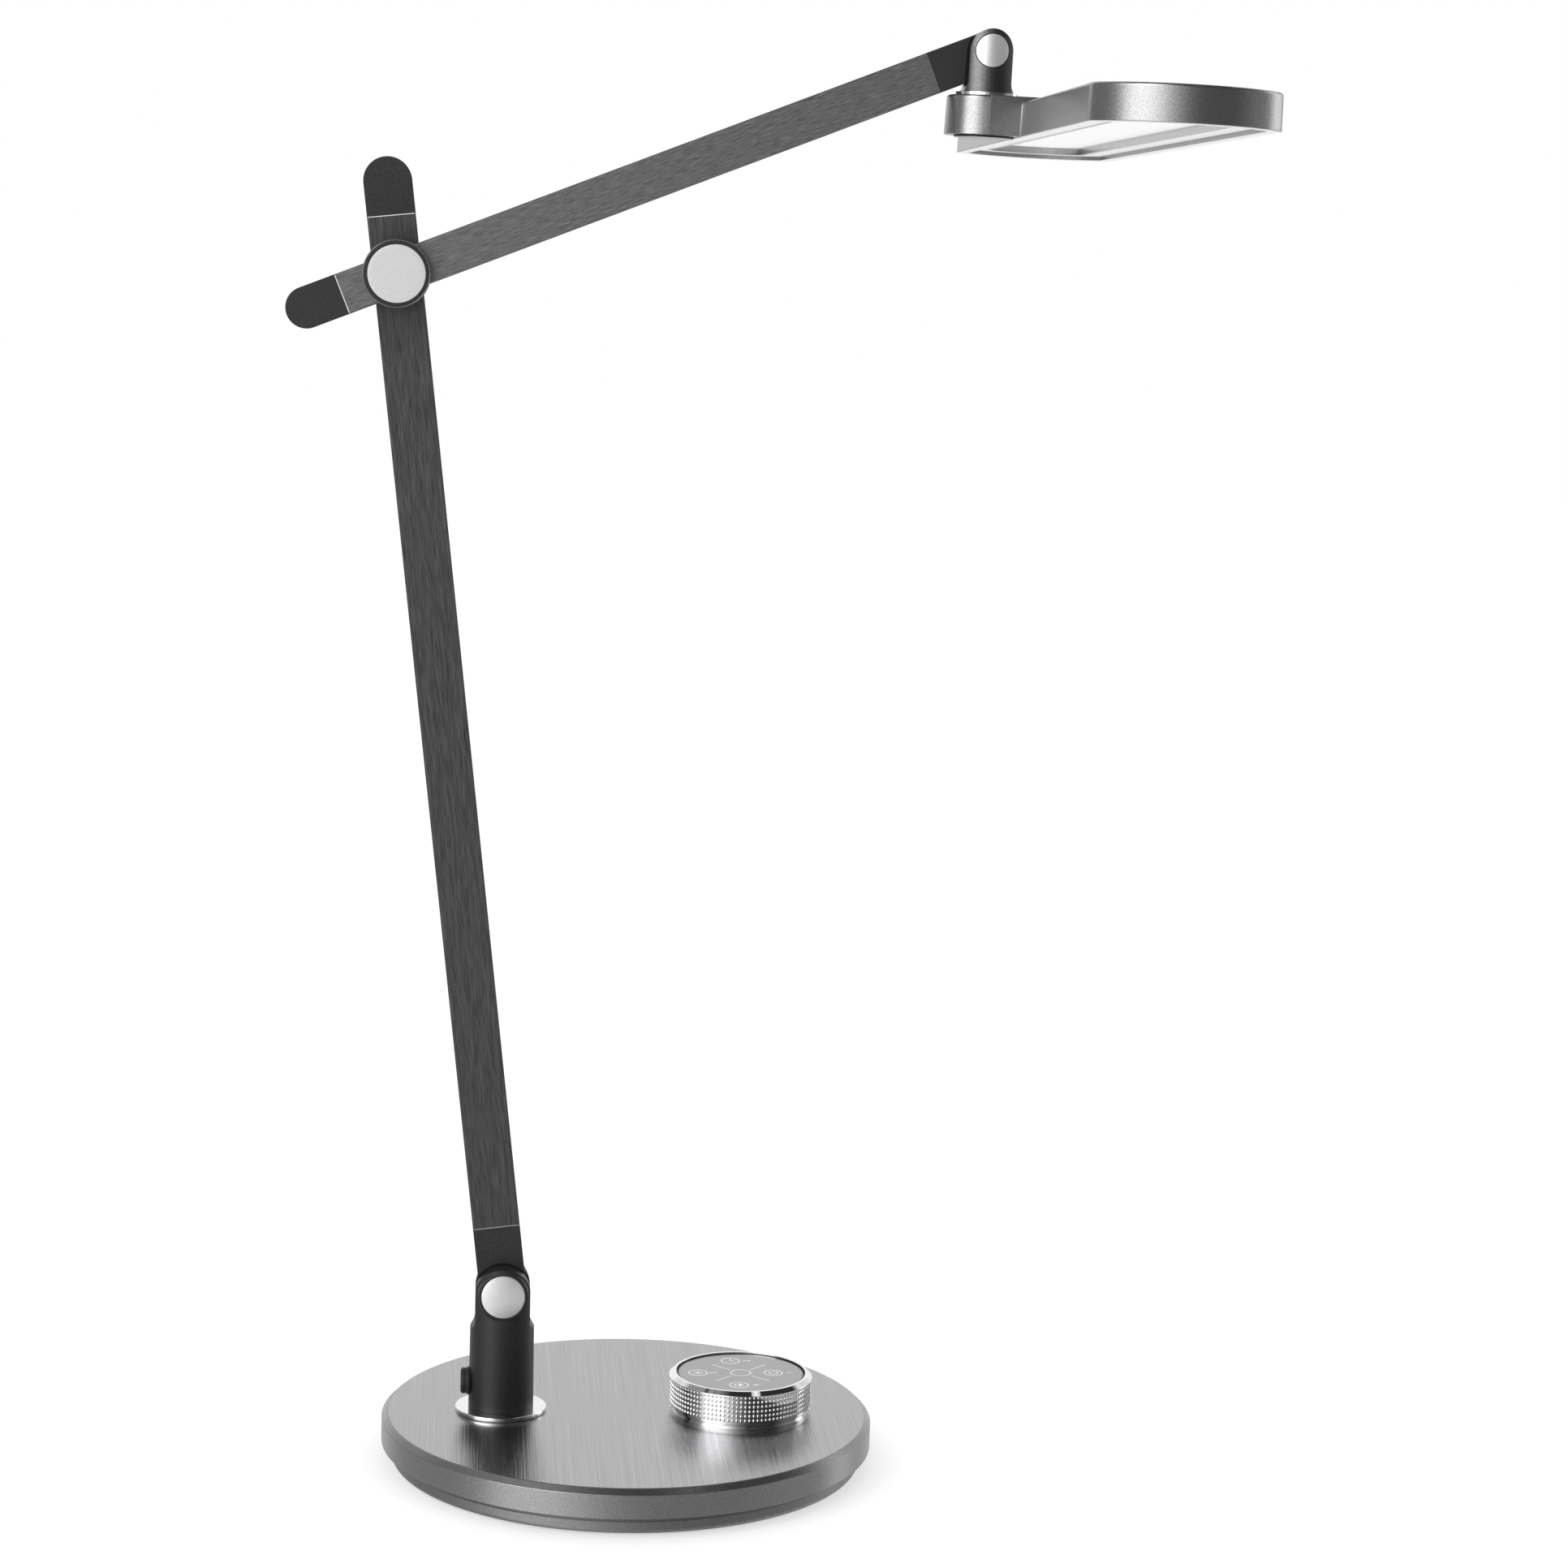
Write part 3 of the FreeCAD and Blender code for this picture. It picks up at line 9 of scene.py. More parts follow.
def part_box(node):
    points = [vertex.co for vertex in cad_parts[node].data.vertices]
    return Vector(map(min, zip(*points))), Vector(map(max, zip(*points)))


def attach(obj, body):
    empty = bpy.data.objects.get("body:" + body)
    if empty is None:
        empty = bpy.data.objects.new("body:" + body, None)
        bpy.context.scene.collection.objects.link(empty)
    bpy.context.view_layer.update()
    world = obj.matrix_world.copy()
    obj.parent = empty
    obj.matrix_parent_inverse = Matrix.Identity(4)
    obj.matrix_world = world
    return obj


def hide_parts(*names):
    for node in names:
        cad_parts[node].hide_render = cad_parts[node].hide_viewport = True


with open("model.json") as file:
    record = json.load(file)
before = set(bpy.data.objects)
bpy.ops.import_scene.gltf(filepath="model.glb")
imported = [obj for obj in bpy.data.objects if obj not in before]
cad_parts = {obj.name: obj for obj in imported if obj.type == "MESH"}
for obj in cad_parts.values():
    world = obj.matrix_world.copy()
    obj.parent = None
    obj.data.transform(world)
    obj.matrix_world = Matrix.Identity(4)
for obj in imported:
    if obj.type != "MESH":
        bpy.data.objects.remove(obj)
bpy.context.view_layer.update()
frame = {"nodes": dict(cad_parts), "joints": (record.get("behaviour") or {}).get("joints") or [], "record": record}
NODES = frame["nodes"]
MM = 0.001
QUARTER_TURN = math.radians(90)

# Places read from the frame

JOINTS = {joint["name"]: joint for joint in frame["joints"]}
TILT_PIVOT = Vector(JOINTS["lower_arm_tilt"]["pos_m"])
ELBOW = Vector(JOINTS["elbow"]["pos_m"])
HEAD_PIVOT = Vector(JOINTS["head_tilt"]["pos_m"])
HEAD_AXIS = Vector(JOINTS["head_swivel"]["axis"])
HEAD_LEAN = (0, math.atan2(HEAD_AXIS.x, HEAD_AXIS.z), 0)
DIAL_X = JOINTS["dial_turn"]["pos_m"][0]
LOWER_LEAN = math.atan2(TILT_PIVOT.x - ELBOW.x, ELBOW.z - TILT_PIVOT.z)
UPPER_RISE = math.atan2(HEAD_PIVOT.z - ELBOW.z, HEAD_PIVOT.x - ELBOW.x)
GLASS_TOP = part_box("touch_glass")[1].z
RING_LOW, RING_HIGH = (corner.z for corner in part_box("dial_ring"))
COLLAR_UNDER = RING_HIGH - 1.9 * MM


# Materials

HOLLOW_TONE = 0.74
CHROME_TONE = 0.86
NOISE_LOW = 0.25
NOISE_HIGH = 0.75
WHITE = (1.0, 1.0, 1.0, 1.0)


def finish(name, color, metallic=0.0, roughness=0.5, **extra):
    """A principled material with its plain values set on the shader's own sockets."""
    material = bpy.data.materials.new(name)
    material.use_nodes = True
    shader = material.node_tree.nodes["Principled BSDF"]
    shader.inputs["Base Color"].default_value = (*color, 1.0)
    shader.inputs["Metallic"].default_value = metallic
    shader.inputs["Roughness"].default_value = roughness
    for socket, value in extra.items():
        shader.inputs[socket.replace("_", " ")].default_value = value
    return material


def node_in(tree, kind, **values):
    node = tree.nodes.new(kind)
    for key, value in values.items():
        setattr(node, key, value)
    return node


def add(material, kind, **values):
    return node_in(material.node_tree, kind, **values)


def link(material, source, target):
    material.node_tree.links.new(source, target)


def shader_of(material):
    return material.node_tree.nodes["Principled BSDF"]


def pattern(material, stretch, turn=(0, 0, 0), detail=2.0, roughness=0.5):
    """Noise on object coordinates, stretched and turned: long streaks or even grain."""
    place = add(material, "ShaderNodeTexCoord")
    mapping = add(material, "ShaderNodeMapping", vector_type="POINT")
    turned = add(material, "ShaderNodeMapping", vector_type="POINT")
    turned.inputs["Rotation"].default_value = turn
    mapping.inputs["Scale"].default_value = stretch
    noise = add(material, "ShaderNodeTexNoise")
    noise.inputs["Scale"].default_value = 1.0
    noise.inputs["Detail"].default_value = detail
    noise.inputs["Roughness"].default_value = roughness
    link(material, place.outputs["Object"], turned.inputs["Vector"])
    link(material, turned.outputs["Vector"], mapping.inputs["Vector"])
    link(material, mapping.outputs["Vector"], noise.inputs["Vector"])
    return noise.outputs["Fac"]


def even(scale):
    """A stretch that is the same in all directions."""
    return (scale, scale, scale)


def spread(material, value, low, high, start=NOISE_LOW, end=NOISE_HIGH):
    """Maps a value, by default a noise's usual range, to a range between low and high."""
    span = add(material, "ShaderNodeMapRange")
    span.inputs["From Min"].default_value = start
    span.inputs["From Max"].default_value = end
    span.inputs["To Min"].default_value = low
    span.inputs["To Max"].default_value = high
    link(material, value, span.inputs["Value"])
    return span.outputs["Result"]


def set_roughness(material, value, low, high):
    link(material, spread(material, value, low, high), shader_of(material).inputs["Roughness"])


def tint(material, value, dark, light):
    """Colours the material between two tones by a pattern's value."""
    ramp = add(material, "ShaderNodeValToRGB")
    ramp.color_ramp.elements[0].position = 0.3
    ramp.color_ramp.elements[0].color = (*dark, 1)
    ramp.color_ramp.elements[1].position = 0.7
    ramp.color_ramp.elements[1].color = (*light, 1)
    link(material, value, ramp.inputs["Fac"])
    link(material, ramp.outputs["Color"], shader_of(material).inputs["Base Color"])


def relief(material, value, height, distance=0.0001, edge=0.0):
    """Bumps the surface by a pattern, and eases its sharp edges over the edge radius."""
    bump = add(material, "ShaderNodeBump")
    bump.inputs["Strength"].default_value = height
    bump.inputs["Distance"].default_value = distance
    link(material, value, bump.inputs["Height"])
    if edge:
        eased = add(material, "ShaderNodeBevel", samples=4)
        eased.inputs["Radius"].default_value = edge
        link(material, eased.outputs["Normal"], bump.inputs["Normal"])
    link(material, bump.outputs["Normal"], shader_of(material).inputs["Normal"])


def grey(level):
    return (level, level, level * 1.012)


def brushed_plate():
    material = finish("brushed_plate", grey(0.38), metallic=1.0, roughness=0.30)
    streaks = pattern(material, (2200, 8, 2200), detail=4.0, roughness=0.75)
    tint(material, streaks, grey(0.305), grey(0.46))
    set_roughness(material, streaks, 0.17, 0.28)
    relief(material, streaks, 1.0, 0.00006)
    return material


def grey_paint(name, level, roughness, grain=0.28):
    material = finish(name, grey(level), metallic=0.92, roughness=roughness)
    flakes = pattern(material, even(1700), detail=3.0, roughness=0.7)
    tint(material, flakes, grey(level * 0.80), grey(level * 1.22))
    relief(material, flakes, grain, 0.0001, edge=0.0004)
    return material


def black_moulding():
    material = finish("black_moulding", grey(0.022), roughness=0.5, Specular_IOR_Level=0.35)
    grain = pattern(material, even(1600), detail=3.0, roughness=0.7)
    tint(material, grain, grey(0.013), grey(0.031))
    set_roughness(material, grain, 0.44, 0.60)
    relief(material, grain, 0.5, 0.0001, edge=0.0004)
    return material


def black_coat():
    material = finish("black_coat", grey(0.012), roughness=0.42, Specular_IOR_Level=0.40)
    grain = pattern(material, even(1500), detail=3.0, roughness=0.7)
    tint(material, grain, grey(0.008), grey(0.020))
    set_roughness(material, grain, 0.34, 0.50)
    relief(material, grain, 0.5, 0.0001, edge=0.0006)
    return material


def brushed_bar(name, level, turn, stretch):
    material = finish(name, grey(level), metallic=0.85, roughness=0.42)
    streaks = pattern(material, stretch, turn=turn, detail=3.0, roughness=0.7)
    tint(material, streaks, grey(level * 0.58), grey(level * 1.55))
    set_roughness(material, streaks, 0.32, 0.52)
    relief(material, streaks, 0.5, 0.00006, edge=0.0002)
    return material


def chrome(name, level=CHROME_TONE):
    material = finish(name, grey(level), metallic=1.0, roughness=0.06)
    haze = pattern(material, even(240))
    set_roughness(material, haze, 0.04, 0.09)
    relief(material, haze, 0.02, 0.00002, edge=0.00015)
    return material


def ring_chrome():
    """Chrome that is darker below the ring's collar, where the knurl's hollows are shaded."""
    material = chrome("ring_chrome")
    place = add(material, "ShaderNodeTexCoord")
    parts = add(material, "ShaderNodeSeparateXYZ")
    link(material, place.outputs["Object"], parts.inputs[0])
    above = spread(material, parts.outputs["Z"], 0.0, 1.0, COLLAR_UNDER - 0.1 * MM, COLLAR_UNDER)
    tint(material, above, grey(HOLLOW_TONE), grey(CHROME_TONE))
    return material


def satin_silver(name, level, metallic, roughness, depth=0.30):
    material = finish(name, grey(level), metallic=metallic, roughness=roughness)
    grain = pattern(material, even(2400), detail=1.5)
    tint(material, grain, grey(level * 0.93), grey(level * 1.07))
    relief(material, grain, depth, 0.00004)
    return material


def panel_glass():
    material = finish("panel_glass", grey(0.27), roughness=0.12, IOR=1.5)
    cloud = pattern(material, even(40))
    tint(material, cloud, grey(0.26), grey(0.28))
    return material


def white_ink():
    material = finish("white_ink", grey(0.90), roughness=0.45)
    grain = pattern(material, even(3000))
    tint(material, grain, grey(0.86), grey(0.94))
    return material


def pale_bezel():
    material = finish("pale_bezel", grey(0.84), roughness=0.45)
    grain = pattern(material, even(2200))
    tint(material, grain, grey(0.81), grey(0.87))
    relief(material, grain, 0.06, 0.00004, edge=0.0003)
    return material


def frosted_white_glowing():
    material = finish("frosted_white_glowing", grey(0.88), roughness=0.5)
    shader = shader_of(material)
    # Painted light: a faint glow that keeps the diffuser and the reflector white from below; it is not the lamp's
    # own light
    shader.inputs["Emission Color"].default_value = WHITE
    shader.inputs["Emission Strength"].default_value = 0.08
    grain = pattern(material, even(900))
    tint(material, grain, grey(0.86), grey(0.90))
    return material


def plain(name, color, metallic, roughness):
    """A simple finish: one tone with a light grain."""
    material = finish(name, color, metallic=metallic, roughness=roughness)
    grain = pattern(material, even(1500))
    tint(material, grain, tuple(c * 0.9 for c in color), tuple(min(1, c * 1.1) for c in color))
    relief(material, grain, 0.05, 0.00005)
    return material


PLATE = brushed_plate()
SHELL_PAINT = grey_paint("shell_paint", 0.275, 0.26, 0.3)
TRAY_GREY = grey_paint("tray_paint", 0.22, 0.42, 0.3)
# Painted shade: a darker copy of the tray's paint, for the dark band under the shell's edge where its overhang
# shades the tier
UNDER_EDGE_SHADE_PAINT = grey_paint("under_edge_shade_paint", 0.13, 0.42, 0.3)
HEAD_PAINT = grey_paint("head_paint", 0.30, 0.27)
BRACKET_COAT = grey_paint("bracket_coat", 0.13, 0.26, 0.6)
MOULDING = black_moulding()
COAT = black_coat()
# Both bars are one brushed aluminium; the lower one's darker copy is painted shade and the upper one's lighter
# copy is painted light, for how each bar's brushing catches the studio
LOWER_BAR_PAINTED_SHADE = brushed_bar("lower_bar_shaded_copy", 0.088, (0, LOWER_LEAN, 0), (2600, 2600, 100))
UPPER_BAR_PAINTED_LIGHT = brushed_bar("upper_bar_lit_copy", 0.19, (0, UPPER_RISE, 0), (160, 2600, 2600))
CHROME = chrome("bright_chrome")
RING_CHROME = ring_chrome()
# Painted shade: a darker copy of the chrome, on the dial's foot
FOOT_CHROME_PAINTED_SHADE = chrome("foot_chrome_shaded_copy", 0.70)
SILVER = satin_silver("satin_silver", 0.84, 0.70, 0.32, 0.06)
BLASTED = satin_silver("blasted_silver", 0.60, 0.25, 0.50, 0.60)
# The bars' bare cut edge; the same finish paints the highlight in the neck's crease
CUT_EDGE_AND_HIGHLIGHT = satin_silver("cut_edge_and_highlight", 0.55, 0.85, 0.35)
# Painted highlight: a lighter copy of the cut edge's finish
SEAM_EDGE_PAINTED_LIGHT = satin_silver("seam_edge_lit_copy", 0.95, 0.40, 0.35)
# Painted shade: a darker copy of the cut edge's finish
SEAM_EDGE_PAINTED_SHADE = satin_silver("seam_edge_shaded_copy", 0.16, 0.60, 0.45)
GLASS = panel_glass()
INK = white_ink()
BEZEL = pale_bezel()
DIFFUSER_PAINTED_GLOW = frosted_white_glowing()
RUBBER = plain("pad_rubber", grey(0.02), 0.0, 0.8)
STEEL = plain("zinc_steel", grey(0.5), 1.0, 0.35)
IRON = plain("weight_iron", grey(0.2), 0.8, 0.6)
BRASS = plain("brass_spacer", (0.6, 0.42, 0.16), 1.0, 0.35)
BOARD = plain("board_green", (0.02, 0.16, 0.06), 0.0, 0.45)
CLEAR = plain("guide_clear", grey(0.86), 0.0, 0.1)
SHEET = plain("plain_aluminium", grey(0.65), 1.0, 0.4)
LED_BOARD = plain("led_board_white", (0.82, 0.82, 0.74), 0.0, 0.5)
GASKET_GREY = plain("gasket_grey", grey(0.42), 0.9, 0.22)
# Painted highlight: grey on the black knob's rounded rim, where its edges catch the light
KNOB_RIM_PAINTED_HIGHLIGHT = grey_paint("knob_rim_highlight", 0.20, 0.40)
# Painted shade: black for the shaded gap round the elbow disc
GAP_PAINTED_SHADE = plain("gap_shade_black", grey(0.008), 0.0, 0.7)

FINISHES = {
    "brushed_plate": PLATE,
    "grey_paint": SHELL_PAINT,
    "tray_grey": TRAY_GREY,
    "black_plastic": MOULDING,
    "black_metal": COAT,
    "pad_rubber": RUBBER,
    "weight_iron": IRON,
    "zinc_steel": STEEL,
    "brass_spacer": BRASS,
    "board_green": BOARD,
    "touch_grey_glass": GLASS,
    "bright_chrome": CHROME,
    "silver_cap": SILVER,
    "head_grey": HEAD_PAINT,
    "bezel_pale": BEZEL,
    "diffuser_white": DIFFUSER_PAINTED_GLOW,
    "guide_clear": CLEAR,
    "reflector_white": DIFFUSER_PAINTED_GLOW,
    "plain_aluminium": SHEET,
    "led_board_white": LED_BOARD,
}
OWN_FINISH = {
    "lower_bar": LOWER_BAR_PAINTED_SHADE,
    "upper_bar": UPPER_BAR_PAINTED_LIGHT,
    "window_gasket": GASKET_GREY,
    "dial_ring": RING_CHROME,
    "dial_core": FOOT_CHROME_PAINTED_SHADE,
}


def dress_nodes():
    """Gives every solid of the frame the finish of its slot."""
    for row in frame["record"]["subparts"]:
        node = NODES[row["node"]]
        node.data.materials.clear()
        node.data.materials.append(OWN_FINISH.get(row["node"]) or FINISHES[row["material_slot"]])


# Modelling steps shared by the new pieces

UPWARD = 0.9
FLAT = 0.999


def start_clean():
    if bpy.context.object and bpy.context.object.mode == "EDIT":
        bpy.ops.object.mode_set(mode="OBJECT")
    bpy.ops.object.select_all(action="DESELECT")


def only(piece):
    start_clean()
    piece.select_set(True)
    bpy.context.view_layer.objects.active = piece


def pick_faces(piece, chosen):
    """Leaves selected, in edit mode, the faces for which chosen(centre, normal) is true."""
    only(piece)
    bpy.ops.object.mode_set(mode="EDIT")
    bpy.ops.mesh.select_mode(type="FACE")
    bpy.ops.mesh.select_all(action="DESELECT")
    bpy.ops.object.mode_set(mode="OBJECT")
    for face in piece.data.polygons:
        face.select = bool(chosen(face.center, face.normal))
    bpy.ops.object.mode_set(mode="EDIT")


def settle(piece, at=(0, 0, 0), turn=(0, 0, 0)):
    """Stands a piece at its place and moves that place into its mesh."""
    only(piece)
    piece.rotation_euler = turn
    piece.location = at
    bpy.ops.object.transform_apply(location=True, rotation=True, scale=True)


def hand_over(piece, name, body, material, smooth=40, stands_for=()):
    """Names, finishes and fastens a piece to its body."""
    only(piece)
    bpy.ops.object.shade_smooth_by_angle(angle=math.radians(smooth))
    piece.name = name
    piece.data.name = name
    piece.data.materials.clear()
    piece.data.materials.append(material)
    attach(piece, body)
    if stands_for:
        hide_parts(*stands_for)
    return piece


def apply_all(piece):
    only(piece)
    for modifier in list(piece.modifiers):
        bpy.ops.object.modifier_apply(modifier=modifier.name)


# Knurl: one rounded bump, copied up a column and then round the ring

KNURL_RADIUS = 28.7 * MM
BUMP_ROWS = 6
BUMP_COLUMNS = 104
ROW_PITCH = 1.9 * MM
FIRST_ROW = RING_LOW + 1.8 * MM
BUMP_HALF_WIDTH = 0.52 * MM
BUMP_HALF_HEIGHT = 0.70 * MM
BUMP_DEPTH = 0.42 * MM
BUMP_ROOT = 0.02 * MM


def make_knurl():
    start_clean()
    bpy.ops.mesh.primitive_uv_sphere_add(segments=12, ring_count=8, radius=1.0,
                                         location=(0, 0, 0))
    bump = bpy.context.object
    bump.rotation_euler = (0, QUARTER_TURN, 0)
    bpy.ops.object.transform_apply(rotation=True)
    bump.scale = (BUMP_DEPTH, BUMP_HALF_WIDTH, BUMP_HALF_HEIGHT)
    bpy.ops.object.transform_apply(scale=True)
    bpy.ops.object.mode_set(mode="EDIT")
    bpy.ops.mesh.select_all(action="SELECT")
    bpy.ops.mesh.bisect(plane_co=(-BUMP_ROOT, 0, 0), plane_no=(1, 0, 0), clear_inner=True,
                        use_fill=True)
    bpy.ops.object.mode_set(mode="OBJECT")
    settle(bump, (KNURL_RADIUS, 0, FIRST_ROW))

    column = bump.modifiers.new("column", "ARRAY")
    column.use_relative_offset = False
    column.use_constant_offset = True
    column.constant_offset_displace = (0, 0, ROW_PITCH)
    column.count = BUMP_ROWS
    bpy.ops.object.modifier_apply(modifier="column")

    turner = bpy.data.objects.new("knurl_step", None)
    bpy.context.scene.collection.objects.link(turner)
    turner.rotation_euler = (0, 0, math.radians(360 / BUMP_COLUMNS))
    bpy.context.view_layer.update()
    around = bump.modifiers.new("around", "ARRAY")
    around.use_relative_offset = False
    around.use_object_offset = True
    around.offset_object = turner
    around.count = BUMP_COLUMNS
    bpy.ops.object.modifier_apply(modifier="around")
    bpy.data.objects.remove(turner)
    settle(bump, (DIAL_X, 0, 0))
    hand_over(bump, "dial_knurl", "dial", CHROME, smooth=60)


# Caps: satin discs with an eased rim and a slight dome

CAP_RIM = 0.28 * MM
TILT_DOME = 0.9 * MM
ELBOW_DOME = 0.12 * MM
ELBOW_REAR_DOME = 0.8 * MM
DOME_STEPS = (0.12, 0.3, 0.5, 0.7, 0.86)

# The way that a cap faces along Y
FRONT = -1
BACK = 1


def make_cap(name, node, body, facing, dome, material=SILVER):
    """A pivot's cover disc, domed in steps by insets that rise along a curve."""
    low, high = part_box(node)
    centre = (low + high) / 2
    radius = (high.x - low.x) / 2
    depth = high.y - low.y
    start_clean()
    bpy.ops.mesh.primitive_cylinder_add(vertices=112, radius=radius, depth=depth,
                                        location=(0, 0, 0))
    cap = bpy.context.object
    pick_faces(cap, lambda middle, normal: normal.z > UPWARD)
    bpy.ops.transform.translate(value=(0, 0, -dome))
    bpy.ops.mesh.bevel(offset=CAP_RIM, segments=3, affect="EDGES")
    bpy.ops.object.mode_set(mode="OBJECT")
    reach = radius - CAP_RIM
    done = 0.0
    for share in DOME_STEPS:
        pick_faces(cap, lambda middle, normal: normal.z > FLAT and middle.xy.length < 0.1 * radius)
        bpy.ops.mesh.inset(thickness=reach * (share - done), use_even_offset=False)
        rise = dome * (share * (2 - share) - done * (2 - done))
        bpy.ops.transform.translate(value=(0, 0, rise))
        bpy.ops.object.mode_set(mode="OBJECT")
        done = share
    settle(cap, centre, (QUARTER_TURN * -facing, 0, 0))
    hand_over(cap, name, body, material, smooth=35, stands_for=(node,))


def make_caps():
    make_cap("tilt_cap_disc", "tilt_cap_front", "post", FRONT, TILT_DOME)
    make_cap("tilt_cap_disc_rear", "tilt_cap_rear", "post", BACK, TILT_DOME)
    make_cap("elbow_cover_disc", "elbow_disc", "upper_arm", FRONT, ELBOW_DOME, BLASTED)
    make_cap("elbow_cap_rear", "elbow_rear_cap", "lower_arm", BACK, ELBOW_REAR_DOME)


# Head bracket: a rounded body cut to the arch and the flared foot, slotted and seated for its caps

BRACKET_HALF = 8.4 * MM
BRACKET_ROUND = 11.9 * MM
BRACKET_FOOT = 15.8 * MM
FLARE_START = 12.2 * MM
FOOT_HALF = 10.1 * MM
SLOT_WIDTH = 7.2 * MM
SLOT_DEPTH = 13.6 * MM
CAP_RADIUS = 6.3 * MM
CAP_SEAT = 8.5 * MM
CAP_GAP = 0.25 * MM
CAP_PROUD = 0.1 * MM
PIN_RADIUS = 3.0 * MM
STUD_RADIUS = 4.0 * MM
PAST_BRACKET = BRACKET_ROUND * 2.2

# Steps of the flare: shares of its height and of its spread, the last one past the foot
FLARE_STEPS = ((0.45, 0.18), (0.35, 0.40), (0.25, 0.42))
ALONG_Y = (QUARTER_TURN, 0, 0)


def round_bar(radius, low, high, turn=(0, 0, 0), vertices=96):
    """A cylinder about Z from low to high, turned afterwards about the origin."""
    start_clean()
    bpy.ops.mesh.primitive_cylinder_add(vertices=vertices, radius=radius, depth=high - low,
                                        location=(0, 0, 0))
    bar = bpy.context.object
    settle(bar, (0, 0, (low + high) / 2))
    settle(bar, (0, 0, 0), turn)
    return bar


def box_piece(size, centre):
    start_clean()
    bpy.ops.mesh.primitive_cube_add(size=1.0, location=(0, 0, 0))
    box = bpy.context.object
    box.scale = size
    bpy.ops.object.transform_apply(scale=True)
    settle(box, centre)
    return box


def combine(piece, tool, operation):
    """Joins, cuts or trims a piece by a tool, which is used up."""
    only(piece)
    step = piece.modifiers.new("step", "BOOLEAN")
    step.operation = operation
    step.object = tool
    step.solver = "EXACT"
    bpy.ops.object.modifier_apply(modifier=step.name)
    bpy.data.objects.remove(tool)


def lean_with_head(piece):
    """Turns a piece made about the origin onto the head's axis, and stands it at the head's pivot."""
    settle(piece, HEAD_PIVOT, HEAD_LEAN)


def bracket_outline():
    """The bracket's front view, arched above and flared below, drawn out past its front and back."""
    outline = box_piece((BRACKET_HALF * 2, PAST_BRACKET, FLARE_START), (0, 0, -FLARE_START / 2))
    for drop, share in FLARE_STEPS:
        pick_faces(outline, lambda middle, normal: normal.z < -UPWARD)
        fall = (BRACKET_FOOT - FLARE_START) * drop
        wide = (FOOT_HALF - BRACKET_HALF) * share
        width = max(abs(corner.co.x) for corner in outline.data.vertices)
        bpy.ops.mesh.extrude_region_move(TRANSFORM_OT_translate={"value": (0, 0, -fall)})
        bpy.ops.transform.resize(value=((width + wide) / width, 1, 1))
        bpy.ops.object.mode_set(mode="OBJECT")
    arch = round_bar(BRACKET_HALF, -PAST_BRACKET / 2, PAST_BRACKET / 2, ALONG_Y, 128)
    combine(outline, arch, "UNION")
    return outline


def make_bracket_body():
    body = round_bar(BRACKET_ROUND, -BRACKET_FOOT, BRACKET_HALF, vertices=128)
    combine(body, bracket_outline(), "INTERSECT")
    slot_size = (PAST_BRACKET, SLOT_WIDTH, SLOT_DEPTH + PAST_BRACKET)
    combine(body, box_piece(slot_size, (0, 0, (PAST_BRACKET - SLOT_DEPTH) / 2)), "DIFFERENCE")
    for facing in (FRONT, BACK):
        turn = (QUARTER_TURN * -facing, 0, 0)
        combine(body, round_bar(CAP_RADIUS + CAP_GAP, CAP_SEAT, PAST_BRACKET, turn), "DIFFERENCE")
    pin_hole = round_bar(PIN_RADIUS, -PAST_BRACKET, PAST_BRACKET, ALONG_Y, 48)
    combine(body, pin_hole, "DIFFERENCE")
    stud_hole = round_bar(STUD_RADIUS, -PAST_BRACKET, -SLOT_DEPTH + MM, (0, 0, 0), 48)
    combine(body, stud_hole, "DIFFERENCE")
    lean_with_head(body)
    hand_over(body, "bracket_body", "bracket", BRACKET_COAT, smooth=30,
              stands_for=("head_bracket",))


def make_bracket_cap(name, node, facing):
    """A cap cut from a cross bar, so that its face follows the bracket's round."""
    cap = round_bar(CAP_RADIUS, CAP_SEAT, PAST_BRACKET / 2, (QUARTER_TURN * -facing, 0, 0), 128)
    face = round_bar(BRACKET_ROUND + CAP_PROUD, -PAST_BRACKET, PAST_BRACKET, vertices=192)
    combine(cap, face, "INTERSECT")
    lean_with_head(cap)
    hand_over(cap, name, "bracket", SILVER, smooth=30, stands_for=(node,))


def make_bracket():
    make_bracket_body()
    make_bracket_cap("head_cap_disc", "head_cap_front", FRONT)
    make_bracket_cap("head_cap_disc_rear", "head_cap_rear", BACK)


# Small trims: a dark band of painted shade under the shell's edge, the gland's rims, a grey band of painted
# highlight on the knob's edge and a black ring of painted shade in its gap, a black ring of painted shade in the
# gap over the boss's cover, and a bright bar of painted highlight in the crease at the neck

# A thin dark ring of painted shade round the tier, just under the shell's overhang
SHADE_BAND_INNER = 95.7 * MM
SHADE_BAND_OUTER = 95.86 * MM
SHADE_BAND_SPAN = (5.7 * MM, 8.2 * MM)
SHADE_BAND_EDGE = 0.03 * MM
GLAND_INNER = 5.15 * MM
GLAND_EDGE = 0.25 * MM
GLAND_RIMS = (
    ("gland_collar", 5.65 * MM, (2.5 * MM, 3.7 * MM)),
    ("gland_lip", 5.32 * MM, (0.9 * MM, 1.5 * MM)),
)
KNOB_INNER = 12.5 * MM
KNOB_OUTER = 13.12 * MM
KNOB_SPAN = (-2.52 * MM, 2.3 * MM)
KNOB_CHAMFER = 0.3 * MM
DISC_GAP_START = 0.02 * MM
DISC_GAP_END = 0.45 * MM
DISC_GAP_SPAN = (-0.5 * MM, 0.04 * MM)
DISC_GAP_EDGE = 0.02 * MM
BOSS_GAP_INNER = 11.3 * MM
BOSS_GAP_OUTER = 11.7 * MM
